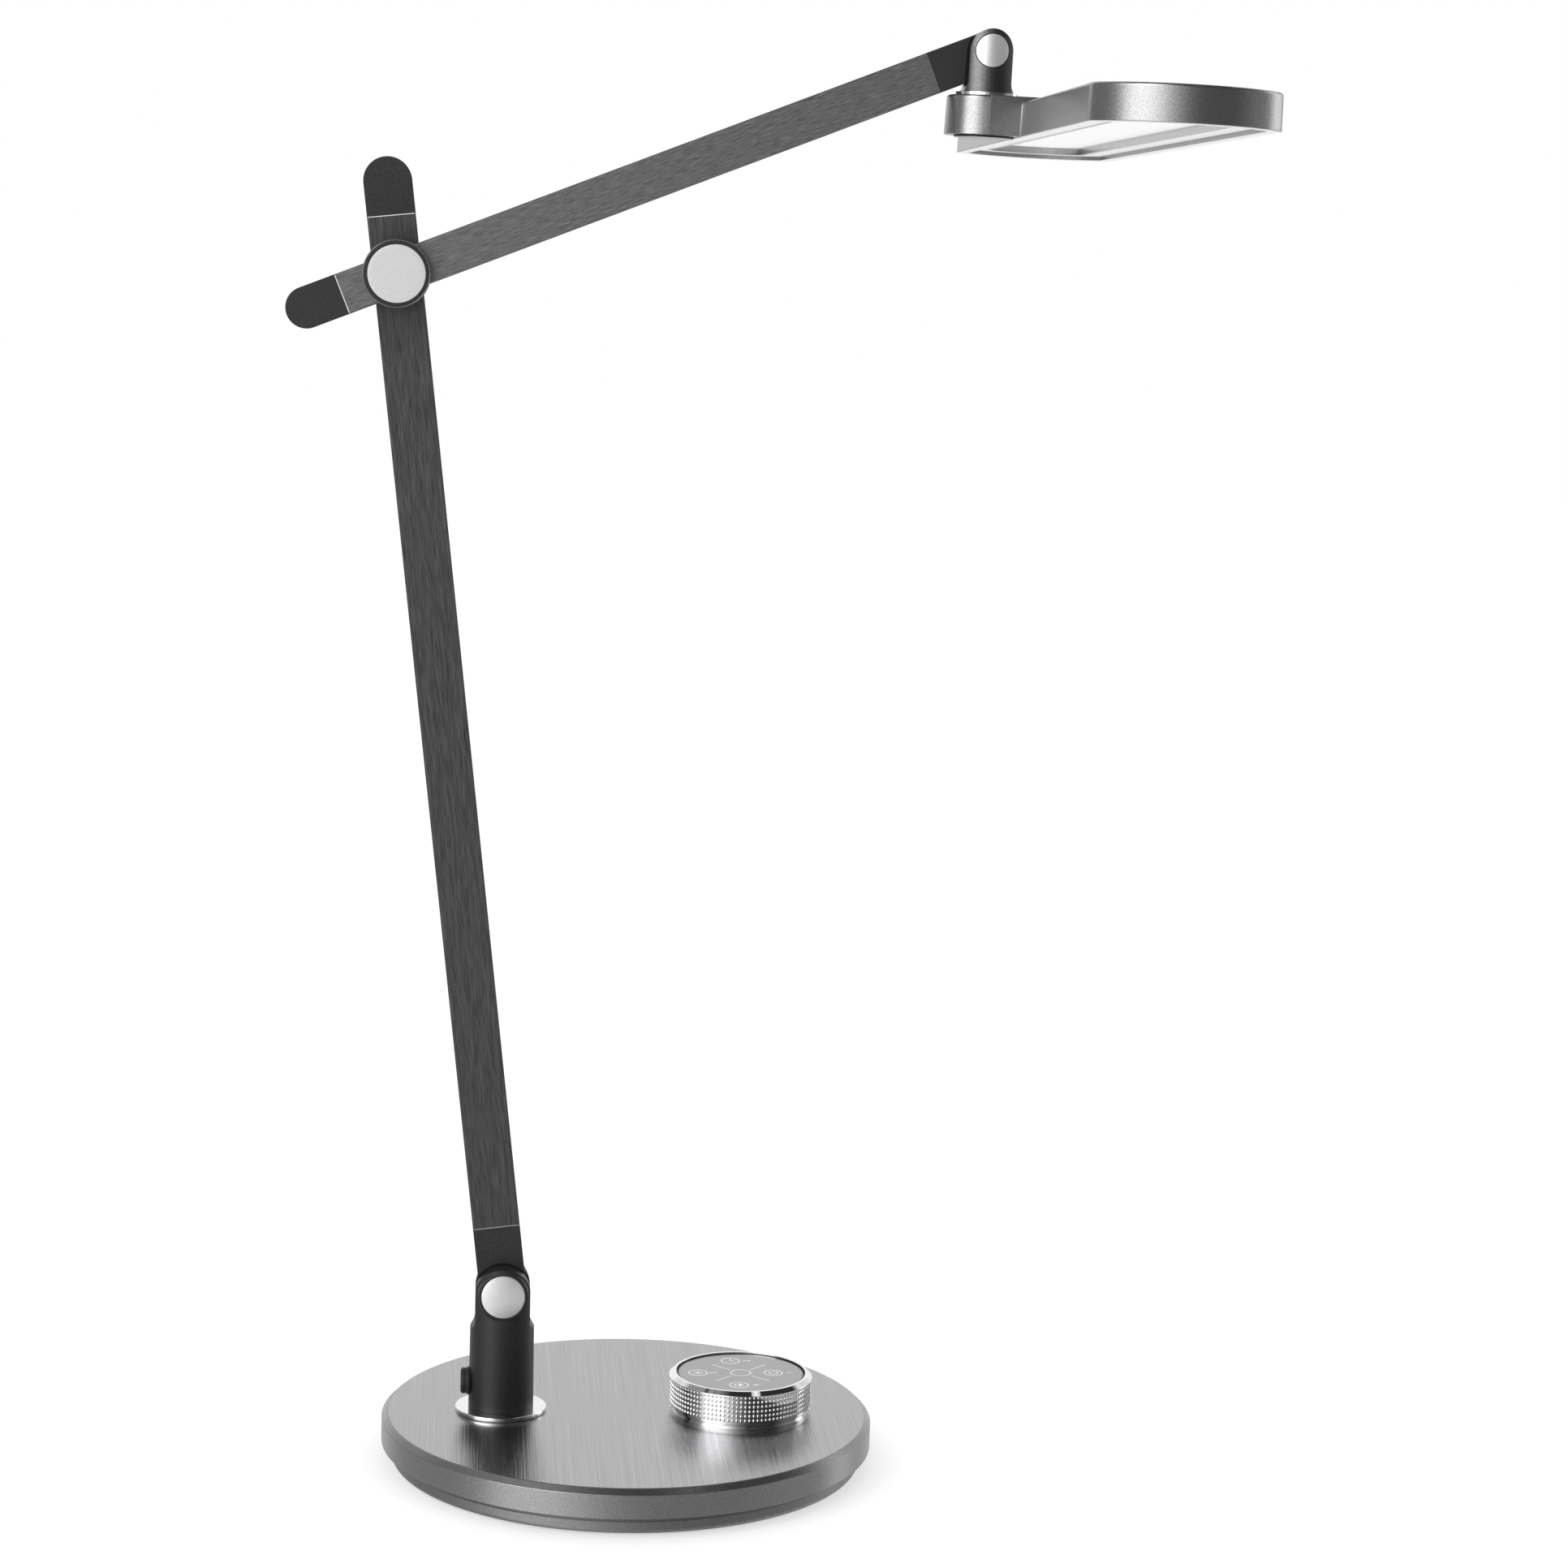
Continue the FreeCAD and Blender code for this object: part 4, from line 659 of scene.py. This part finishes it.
BOSS_GAP_SPAN = (-0.35 * MM, 0.35 * MM)
BOSS_GAP_EDGE = 0.1 * MM
BOSS_GAP_DROP = 0.75 * MM
# The neck's bright line is painted highlight: a thin bar set in the crease where the boss meets the long wall
NECK_JOINT_RADIUS = 0.2 * MM
NECK_JOINT_SPAN = (0.2 * MM, 12.2 * MM)
NECK_JOINT_EDGE = 0.08 * MM
NECK_JOINT_FOOT = (139.22 * MM, -26.55 * MM, 537.95 * MM)
NECK_JOINT_TURN = (math.radians(-1), math.radians(2.4), 0)
ALONG_X = (0, QUARTER_TURN, 0)


def make_sleeve(name, body, material, inner, outer, span, edge, place, turn=(0, 0, 0)):
    """A short tube about its axis, from the span's start to its end, with eased edges."""
    low, high = span
    sleeve = round_bar(outer, low, high, vertices=192)
    combine(sleeve, round_bar(inner, low - MM, high + MM, vertices=192), "DIFFERENCE")
    eased = sleeve.modifiers.new("eased", "BEVEL")
    eased.width = edge
    eased.segments = 2
    eased.limit_method = "ANGLE"
    eased.angle_limit = math.radians(50)
    apply_all(sleeve)
    settle(sleeve, place, turn)
    hand_over(sleeve, name, body, material, smooth=40)


def make_shade_band():
    # Painted shade under the shell's overhang, as a dark ring on the tier
    make_sleeve("tier_shade_band", "base", UNDER_EDGE_SHADE_PAINT, SHADE_BAND_INNER, SHADE_BAND_OUTER,
                SHADE_BAND_SPAN, SHADE_BAND_EDGE, (0, 0, 0))


def make_gland_rims():
    low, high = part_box("cord_gland")
    middle = (low + high) / 2
    nose = (low.x, middle.y, middle.z)
    for name, outer, span in GLAND_RIMS:
        make_sleeve(name, "post", MOULDING, GLAND_INNER, outer, span,
                    GLAND_EDGE, nose, ALONG_X)


def make_knob_trims():
    low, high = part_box("elbow_knob")
    middle = (low + high) / 2
    # The knob's rim as a grey band: painted highlight
    make_sleeve("knob_rim_highlight", "upper_arm", KNOB_RIM_PAINTED_HIGHLIGHT, KNOB_INNER, KNOB_OUTER,
                KNOB_SPAN, KNOB_CHAMFER, middle, ALONG_Y)
    disc_low, disc_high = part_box("elbow_disc")
    disc_radius = (disc_high.x - disc_low.x) / 2
    # Painted shade: a black ring in the gap round the elbow disc
    make_sleeve("knob_gap_shade", "upper_arm", GAP_PAINTED_SHADE,
                disc_radius + DISC_GAP_START, disc_radius + DISC_GAP_END, DISC_GAP_SPAN,
                DISC_GAP_EDGE, (middle.x, low.y, middle.z), ALONG_Y)


def make_boss_gap_shade():
    low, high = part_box("boss_cover")
    place = (low + high) / 2 - HEAD_AXIS * BOSS_GAP_DROP
    # Painted shade: a black ring in the gap between the boss and its cover
    make_sleeve("boss_gap_shade", "head", MOULDING, BOSS_GAP_INNER, BOSS_GAP_OUTER,
                BOSS_GAP_SPAN, BOSS_GAP_EDGE, place, HEAD_LEAN)


def make_neck_crease_highlight():
    # Painted highlight: a thin bright bar in the crease at the neck
    joint = round_bar(NECK_JOINT_RADIUS, *NECK_JOINT_SPAN, vertices=16)
    pick_faces(joint, lambda middle, normal: abs(normal.z) > UPWARD)
    bpy.ops.mesh.bevel(offset=NECK_JOINT_EDGE, segments=2, affect="EDGES")
    bpy.ops.object.mode_set(mode="OBJECT")
    settle(joint, NECK_JOINT_FOOT, NECK_JOINT_TURN)
    hand_over(joint, "neck_crease_highlight", "head", CUT_EDGE_AND_HIGHLIGHT, smooth=40)


def make_trims():
    make_shade_band()
    make_gland_rims()
    make_knob_trims()
    make_boss_gap_shade()
    make_neck_crease_highlight()


# Outer frame of the bezel: a thin pale plate under the shell's rim, all round the head

PANEL_HALF = 34.2 * MM
PANEL_MIDDLE = 46.3 * MM
PANEL_LOW = -32.2 * MM
END_RADIUS = 38.35 * MM
END_CENTRE = 151.65 * MM
FRAME_OUTER = 0.4 * MM
FRAME_INNER = 4.75 * MM
FRAME_THICKNESS = 0.25 * MM
PAST_HEAD = 0.5


def panel_slab(inset, low, high):
    """The head's outline drawn in by inset: round ends and a straight middle, cut to the width."""
    half = PANEL_HALF - inset
    slab = box_piece((half * 2, END_CENTRE * 2, high - low), (0, 0, (low + high) / 2))
    for end in (-1, 1):
        bow = round_bar(END_RADIUS - inset, low, high, vertices=256)
        settle(bow, (0, end * END_CENTRE, 0))
        combine(slab, bow, "UNION")
    combine(slab, box_piece((half * 2, PAST_HEAD, PAST_HEAD), (0, 0, 0)), "INTERSECT")
    return slab


def make_bezel_frame():
    frame_plate = panel_slab(FRAME_OUTER, -FRAME_THICKNESS, 0.0)
    combine(frame_plate, panel_slab(FRAME_INNER, -MM, MM), "DIFFERENCE")
    settle(frame_plate, (PANEL_MIDDLE, 0, PANEL_LOW))
    lean_with_head(frame_plate)
    hand_over(frame_plate, "bezel_frame", "head", BEZEL, smooth=30)


# Seams: the bar's bare cut edge, a thin line before each moulded end; its finish comes in a mid, a lighter and a
# darker copy, which are painted highlight and painted shade

BAR_THICKNESS = 8.0 * MM
BAR_CHAMFER = 0.6 * MM
SEAM_LENGTH = 0.30 * MM
SEAM_PROUD = 0.05 * MM

Arm = namedtuple("Arm", "body pivot along across width")
LOWER_ARM = Arm(
    body="lower_arm",
    pivot=TILT_PIVOT,
    along=Vector((-math.sin(LOWER_LEAN), 0, math.cos(LOWER_LEAN))),
    across=Vector((math.cos(LOWER_LEAN), 0, math.sin(LOWER_LEAN))),
    width=18.9 * MM,
)
UPPER_ARM = Arm(
    body="upper_arm",
    pivot=ELBOW,
    along=Vector((math.cos(UPPER_RISE), 0, math.sin(UPPER_RISE))),
    across=Vector((math.sin(UPPER_RISE), 0, -math.cos(UPPER_RISE))),
    width=16.2 * MM,
)

# Name, arm, distance from the arm's pivot, finish
SEAMS = (
    ("seam_lower_foot", LOWER_ARM, 26.9 * MM, CUT_EDGE_AND_HIGHLIGHT),
    ("seam_lower_top", LOWER_ARM, 433.3 * MM, SEAM_EDGE_PAINTED_LIGHT),
    ("seam_upper_stub", UPPER_ARM, -22.5 * MM, SEAM_EDGE_PAINTED_LIGHT),
    ("seam_upper_head", UPPER_ARM, 222.0 * MM, SEAM_EDGE_PAINTED_SHADE),
)


def make_seam(name, arm, distance, material):
    """A thin slice of the bar at a distance along its arm, standing out a hair all round."""
    start_clean()
    bpy.ops.mesh.primitive_cube_add(size=1.0, location=(0, 0, 0))
    seam = bpy.context.object
    seam.scale = (arm.width + SEAM_PROUD * 2, BAR_THICKNESS + SEAM_PROUD * 2, SEAM_LENGTH)
    bpy.ops.object.transform_apply(scale=True)
    corners = seam.modifiers.new("corners", "BEVEL")
    corners.width = BAR_CHAMFER
    corners.segments = 1
    corners.limit_method = "WEIGHT"
    weights = seam.data.attributes.new("bevel_weight_edge", "FLOAT", "EDGE")
    for edge in seam.data.edges:
        a, b = (seam.data.vertices[i].co for i in edge.vertices)
        weights.data[edge.index].value = 1.0 if abs(a.z - b.z) > SEAM_LENGTH / 2 else 0.0
    bpy.ops.object.modifier_apply(modifier="corners")
    turn = Matrix((arm.across, Vector((0, 1, 0)), arm.along)).transposed()
    settle(seam, arm.pivot + arm.along * distance, turn.to_euler())
    hand_over(seam, name, arm.body, material, smooth=30)


def make_seams():
    for name, arm, distance, material in SEAMS:
        make_seam(name, arm, distance, material)


# Print on the touch glass: fine white lines, four round pictograms and a number beside each

LINE = 0.42 * MM
RAY_LINE = LINE * 0.9
TICK_LINE = LINE * 0.8
PRINT_LOW = GLASS_TOP + 0.01 * MM
INK_DEPTH = 0.02 * MM
CENTRE_RADIUS = 4.1 * MM
QUARTER_LINE = (6 * MM, 15.4 * MM)
MARK_RADIUS = 3.75 * MM
SUN_PLACE = (-17.6 * MM, 0.0)
SUN_RADIUS = 0.8 * MM
SUN_RAY = (1.3 * MM, 2.2 * MM)
SUN_RAYS = 8
POWER_PLACE = (13.5 * MM, 0.0)
POWER_RADIUS = 1.8 * MM
POWER_OPENING = math.radians(70)
POWER_STROKE = (0.5 * MM, 2.3 * MM)
CLOCK_PLACE = (-3.1 * MM, 16.3 * MM)
LONG_HAND = (0.0, 2.4 * MM)
SHORT_HAND = (0.0, 1.7 * MM)
CLOCK_TICK = (2.8 * MM, 3.3 * MM)
HALF_DISC_PLACE = (-1.9 * MM, -16.4 * MM)
HALF_DISC_RADIUS = 1.7 * MM

# Digits with their places in millimetres
DIGITS = (
    ("1", 20.4, 0.0),
    ("2", 3.9, 16.3),
    ("3", -11.1, 0.0),
    ("4", 5.2, -16.4),
)
DIGIT_HEIGHT = 3.0 * MM
DIGIT_SHARE = 0.7


def ring_mark(x, y, radius, width=LINE, gap=0.0):
    """A thin circle; gap leaves it open by that angle towards +y."""
    start_clean()
    bpy.ops.mesh.primitive_circle_add(vertices=64, radius=radius + width / 2, fill_type="NGON")
    mark = bpy.context.object
    pick_faces(mark, lambda middle, normal: True)
    bpy.ops.mesh.inset(thickness=width)
    bpy.ops.mesh.delete(type="FACE")
    bpy.ops.object.mode_set(mode="OBJECT")
    if gap:
        pick_faces(mark, lambda middle, normal: abs(math.atan2(middle.x, middle.y)) < gap / 2)
        bpy.ops.mesh.delete(type="FACE")
        bpy.ops.object.mode_set(mode="OBJECT")
    settle(mark, (x, y, 0))
    return mark


def disc_mark(x, y, radius, half=False):
    start_clean()
    bpy.ops.mesh.primitive_circle_add(vertices=32, radius=radius, fill_type="NGON")
    mark = bpy.context.object
    if half:
        bpy.ops.object.mode_set(mode="EDIT")
        bpy.ops.mesh.select_all(action="SELECT")
        bpy.ops.mesh.bisect(plane_co=(0, 0, 0), plane_no=(1, 0, 0), clear_inner=True)
        bpy.ops.object.mode_set(mode="OBJECT")
    settle(mark, (x, y, 0))
    return mark


def bar_mark(x, y, near, far, angle, width=LINE):
    """A straight line from the near to the far distance, at an angle about (x, y)."""
    start_clean()
    bpy.ops.mesh.primitive_plane_add(size=1.0)
    mark = bpy.context.object
    mark.scale = (far - near, width, 1)
    bpy.ops.object.transform_apply(scale=True)
    settle(mark, ((near + far) / 2, 0, 0))
    settle(mark, (x, y, 0), (0, 0, angle))
    return mark


def digit_mark(x, y, digit, height):
    start_clean()
    bpy.ops.object.text_add()
    text = bpy.context.object
    text.data.body = digit
    text.data.size = height / DIGIT_SHARE
    text.data.align_x = "CENTER"
    text.data.align_y = "CENTER"
    bpy.ops.object.convert(target="MESH")
    mark = bpy.context.object
    settle(mark, (x, y, 0), (0, 0, QUARTER_TURN))
    return mark


def sun_marks(x, y):
    """Warm and cold light: a small sun."""
    marks = [ring_mark(x, y, MARK_RADIUS), disc_mark(x, y, SUN_RADIUS)]
    for ray in range(SUN_RAYS):
        marks.append(bar_mark(x, y, *SUN_RAY, math.radians(360 / SUN_RAYS * ray), RAY_LINE))
    return marks


def power_marks(x, y):
    """On and off: an open ring with a stroke."""
    return [
        ring_mark(x, y, MARK_RADIUS),
        ring_mark(x, y, POWER_RADIUS, LINE, POWER_OPENING),
        bar_mark(x, y, *POWER_STROKE, QUARTER_TURN),
    ]


def clock_marks(x, y):
    """Timer: a clock face with two hands."""
    marks = [
        ring_mark(x, y, MARK_RADIUS),
        bar_mark(x, y, *LONG_HAND, QUARTER_TURN),
        bar_mark(x, y, *SHORT_HAND, 0.0),
    ]
    for quarter in range(4):
        marks.append(bar_mark(x, y, *CLOCK_TICK, math.radians(90 * quarter + 45), TICK_LINE))
    return marks


def half_disc_marks(x, y):
    """Brightness: a half filled circle."""
    return [
        ring_mark(x, y, MARK_RADIUS),
        ring_mark(x, y, HALF_DISC_RADIUS),
        disc_mark(x, y, HALF_DISC_RADIUS, half=True),
    ]


def make_print():
    marks = [ring_mark(0, 0, CENTRE_RADIUS)]
    for quarter in range(4):
        marks.append(bar_mark(0, 0, *QUARTER_LINE, math.radians(45 + 90 * quarter)))
    marks += sun_marks(*SUN_PLACE)
    marks += power_marks(*POWER_PLACE)
    marks += clock_marks(*CLOCK_PLACE)
    marks += half_disc_marks(*HALF_DISC_PLACE)
    for digit, x, y in DIGITS:
        marks.append(digit_mark(x * MM, y * MM, digit, DIGIT_HEIGHT))
    start_clean()
    for mark in marks:
        mark.select_set(True)
    bpy.context.view_layer.objects.active = marks[0]
    bpy.ops.object.join()
    printed = marks[0]
    ink = printed.modifiers.new("ink", "SOLIDIFY")
    ink.thickness = INK_DEPTH
    ink.offset = 1.0
    apply_all(printed)
    settle(printed, (DIAL_X, 0, PRINT_LOW))
    hand_over(printed, "dial_print", "base", INK, smooth=20)


# Camera, at the photograph's angle; the focal length is in widths of the frame

VIEW_TURN = math.radians(5.23)
VIEW_DIP = math.radians(8.0)
VIEW_ROLL = math.radians(1.66)
FOCAL_OVER_FRAME = 4421 / 1932
SENSOR = 36.0
EYE = Vector((-0.0728, -1.4217, 0.4806))


def add_camera():
    right = Vector((math.cos(VIEW_TURN), -math.sin(VIEW_TURN), 0))
    level = Vector((math.sin(VIEW_TURN), math.cos(VIEW_TURN), 0))
    up = Vector((0, 0, 1))
    ahead = level * math.cos(VIEW_DIP) - up * math.sin(VIEW_DIP)
    rise = up * math.cos(VIEW_DIP) + level * math.sin(VIEW_DIP)
    side = right * math.cos(VIEW_ROLL) + rise * math.sin(VIEW_ROLL)
    top = rise * math.cos(VIEW_ROLL) - right * math.sin(VIEW_ROLL)
    lens = bpy.data.cameras.new("camera")
    lens.sensor_width = SENSOR
    lens.sensor_fit = "AUTO"
    lens.lens = FOCAL_OVER_FRAME * SENSOR
    lens.clip_end = 50
    camera = bpy.data.objects.new("camera", lens)
    bpy.context.scene.collection.objects.link(camera)
    turn = Matrix((side, top, -ahead)).transposed().to_4x4()
    camera.matrix_world = Matrix.Translation(EYE) @ turn
    bpy.context.scene.camera = camera


# The studio round the lamp, as gloss mirrors it. Azimuths are 0 on the camera's side and grow
# towards +X. An edge is a pair of values, and a part of the studio begins between them.

# Brightness at eye height: (azimuth in degrees, level)
ROUND = [
    (-180, 1.00), (-152, 1.00), (-130, 0.36), (-106, 0.25), (-88, 0.23),
    (-72, 0.60), (-63, 3.2), (-36, 3.2), (-25, 1.9), (-9, 0.60),
    (8, 0.08), (55, 0.05), (78, 0.34), (104, 0.36),
    (110, 2.4), (122, 2.4), (130, 0.60), (150, 0.95), (180, 1.00),
]
PEAK = 3.2
STRIP_AZIMUTH = math.radians(-45)
STRIP_OUT = 0.77
STRIP_UP = 0.64
STRIP_EDGE = (0.93, 0.975)
STRIP_LEVEL = 3.0
BACK_EDGE = (0.32, 0.60)
BACK_LEVEL = 0.95
LEFT_EDGE = (-0.12, -0.42)
LEFT_LEVEL = 0.28
ROOF_LEVEL = 0.025
ROOF_EDGE = (0.40, 0.66)
TABLE_SHARE = 0.34
TABLE_LEVEL = 0.38
TABLE_EDGE = (-0.02, -0.16)


def calculate(tree, operation, *inputs):
    node = node_in(tree, "ShaderNodeMath", operation=operation)
    for slot, value in enumerate(inputs):
        if isinstance(value, (int, float)):
            node.inputs[slot].default_value = value
        else:
            tree.links.new(value, node.inputs[slot])
    return node.outputs[0]


def beyond(tree, value, edge):
    """0 before the edge's first value, 1 past its second, smooth between; the second may be lower."""
    span = node_in(tree, "ShaderNodeMapRange", interpolation_type="SMOOTHSTEP")
    start, end = edge
    span.inputs["From Min"].default_value = start
    span.inputs["From Max"].default_value = end
    tree.links.new(value, span.inputs["Value"])
    return span.outputs["Result"]


def blend(tree, first, second, share):
    """The first value where share is 0, the second where it is 1."""
    rest = calculate(tree, "SUBTRACT", 1.0, share)
    kept = calculate(tree, "MULTIPLY", first, rest)
    added = calculate(tree, "MULTIPLY", second, share)
    return calculate(tree, "ADD", kept, added)


def eye_height(tree, x, y):
    """The studio's brightness at eye height, by azimuth."""
    turn = calculate(tree, "ARCTAN2", x, calculate(tree, "MULTIPLY", y, -1.0))
    share = calculate(tree, "ADD", calculate(tree, "DIVIDE", turn, 2 * math.pi), 0.5)
    ramp = node_in(tree, "ShaderNodeValToRGB")
    stops = ramp.color_ramp.elements
    while len(stops) < len(ROUND):
        stops.new(1.0)
    for stop, (azimuth, level) in zip(stops, ROUND):
        stop.position = (azimuth + 180) / 360
        stop.color = (level / PEAK, level / PEAK, level / PEAK, 1)
    tree.links.new(share, ramp.inputs["Fac"])
    return calculate(tree, "MULTIPLY", ramp.outputs["Color"], PEAK)


def roof_light(tree, direction, x, y):
    """The brightness above: the strip light reaches up, and the rest is dark but for back and left."""
    aim = node_in(tree, "ShaderNodeVectorMath", operation="DOT_PRODUCT")
    tree.links.new(direction, aim.inputs[0])
    aim.inputs[1].default_value = (math.sin(STRIP_AZIMUTH) * STRIP_OUT,
                                   -math.cos(STRIP_AZIMUTH) * STRIP_OUT, STRIP_UP)
    strip = calculate(tree, "MULTIPLY", beyond(tree, aim.outputs["Value"], STRIP_EDGE), STRIP_LEVEL)
    back = calculate(tree, "MULTIPLY", beyond(tree, y, BACK_EDGE), BACK_LEVEL)
    left = calculate(tree, "MULTIPLY", beyond(tree, x, LEFT_EDGE), LEFT_LEVEL)
    lit = calculate(tree, "ADD", calculate(tree, "MAXIMUM", strip, left), ROOF_LEVEL)
    return calculate(tree, "MAXIMUM", lit, back)


def studio_world():
    """White to the eye and on matt surfaces; gloss mirrors a studio of soft boxes and dark cards."""
    world = bpy.data.worlds.new("studio")
    bpy.context.scene.world = world
    world.use_nodes = True
    tree = world.node_tree
    place = node_in(tree, "ShaderNodeTexCoord")
    direction = place.outputs["Generated"]
    parts = node_in(tree, "ShaderNodeSeparateXYZ")
    tree.links.new(direction, parts.inputs[0])
    x, y, z = parts.outputs
    around = eye_height(tree, x, y)
    upper = blend(tree, around, roof_light(tree, direction, x, y), beyond(tree, z, ROOF_EDGE))
    # below, the pale table repeats the studio at about a third of its contrast
    table = calculate(tree, "ADD", calculate(tree, "MULTIPLY", around, TABLE_SHARE), TABLE_LEVEL)
    mirrored = blend(tree, upper, table, beyond(tree, z, TABLE_EDGE))
    rays = node_in(tree, "ShaderNodeLightPath")
    level = blend(tree, 1.0, mirrored, rays.outputs["Is Glossy Ray"])
    background = tree.nodes["Background"]
    tree.links.new(level, background.inputs["Color"])
    background.inputs["Strength"].default_value = 1.0


# Floor and key light

FLOOR_SIZE = 14
FLOOR_TONE = 0.50
FLOOR_GLOW = 0.55
KEY_AZIMUTH = math.radians(-50)
KEY_DISTANCE = 1.6
KEY_HEIGHT = 1.5
KEY_TARGET = Vector((0, 0, 0.3))
KEY_SIZE = 1.2
KEY_POWER = 9


def add_floor():
    start_clean()
    bpy.ops.mesh.primitive_plane_add(size=FLOOR_SIZE, location=(0, 0, 0))
    floor = bpy.context.object
    floor.name = "floor"
    floor.visible_glossy = False
    pale = bpy.data.materials.new("floor_pale")
    pale.use_nodes = True
    shader = shader_of(pale)
    shader.inputs["Base Color"].default_value = (FLOOR_TONE, FLOOR_TONE, FLOOR_TONE, 1)
    shader.inputs["Roughness"].default_value = 0.8
    shader.inputs["Specular IOR Level"].default_value = 0.0
    shader.inputs["Emission Color"].default_value = WHITE
    shader.inputs["Emission Strength"].default_value = FLOOR_GLOW
    floor.data.materials.append(pale)


def add_key():
    """A soft box above the lamp, on the camera's left."""
    light = bpy.data.lights.new("key", "AREA")
    light.shape = "RECTANGLE"
    light.size = KEY_SIZE
    light.size_y = KEY_SIZE
    light.energy = KEY_POWER
    key = bpy.data.objects.new("key", light)
    key.location = (math.sin(KEY_AZIMUTH) * KEY_DISTANCE,
                    -math.cos(KEY_AZIMUTH) * KEY_DISTANCE, KEY_HEIGHT)
    key.rotation_euler = (KEY_TARGET - key.location).to_track_quat("-Z", "Y").to_euler()
    bpy.context.scene.collection.objects.link(key)


dress_nodes()
make_knurl()
make_caps()
make_bracket()
make_trims()
make_bezel_frame()
make_seams()
make_print()
add_camera()
add_floor()
studio_world()
bpy.context.scene.view_settings.view_transform = "Standard"
add_key()
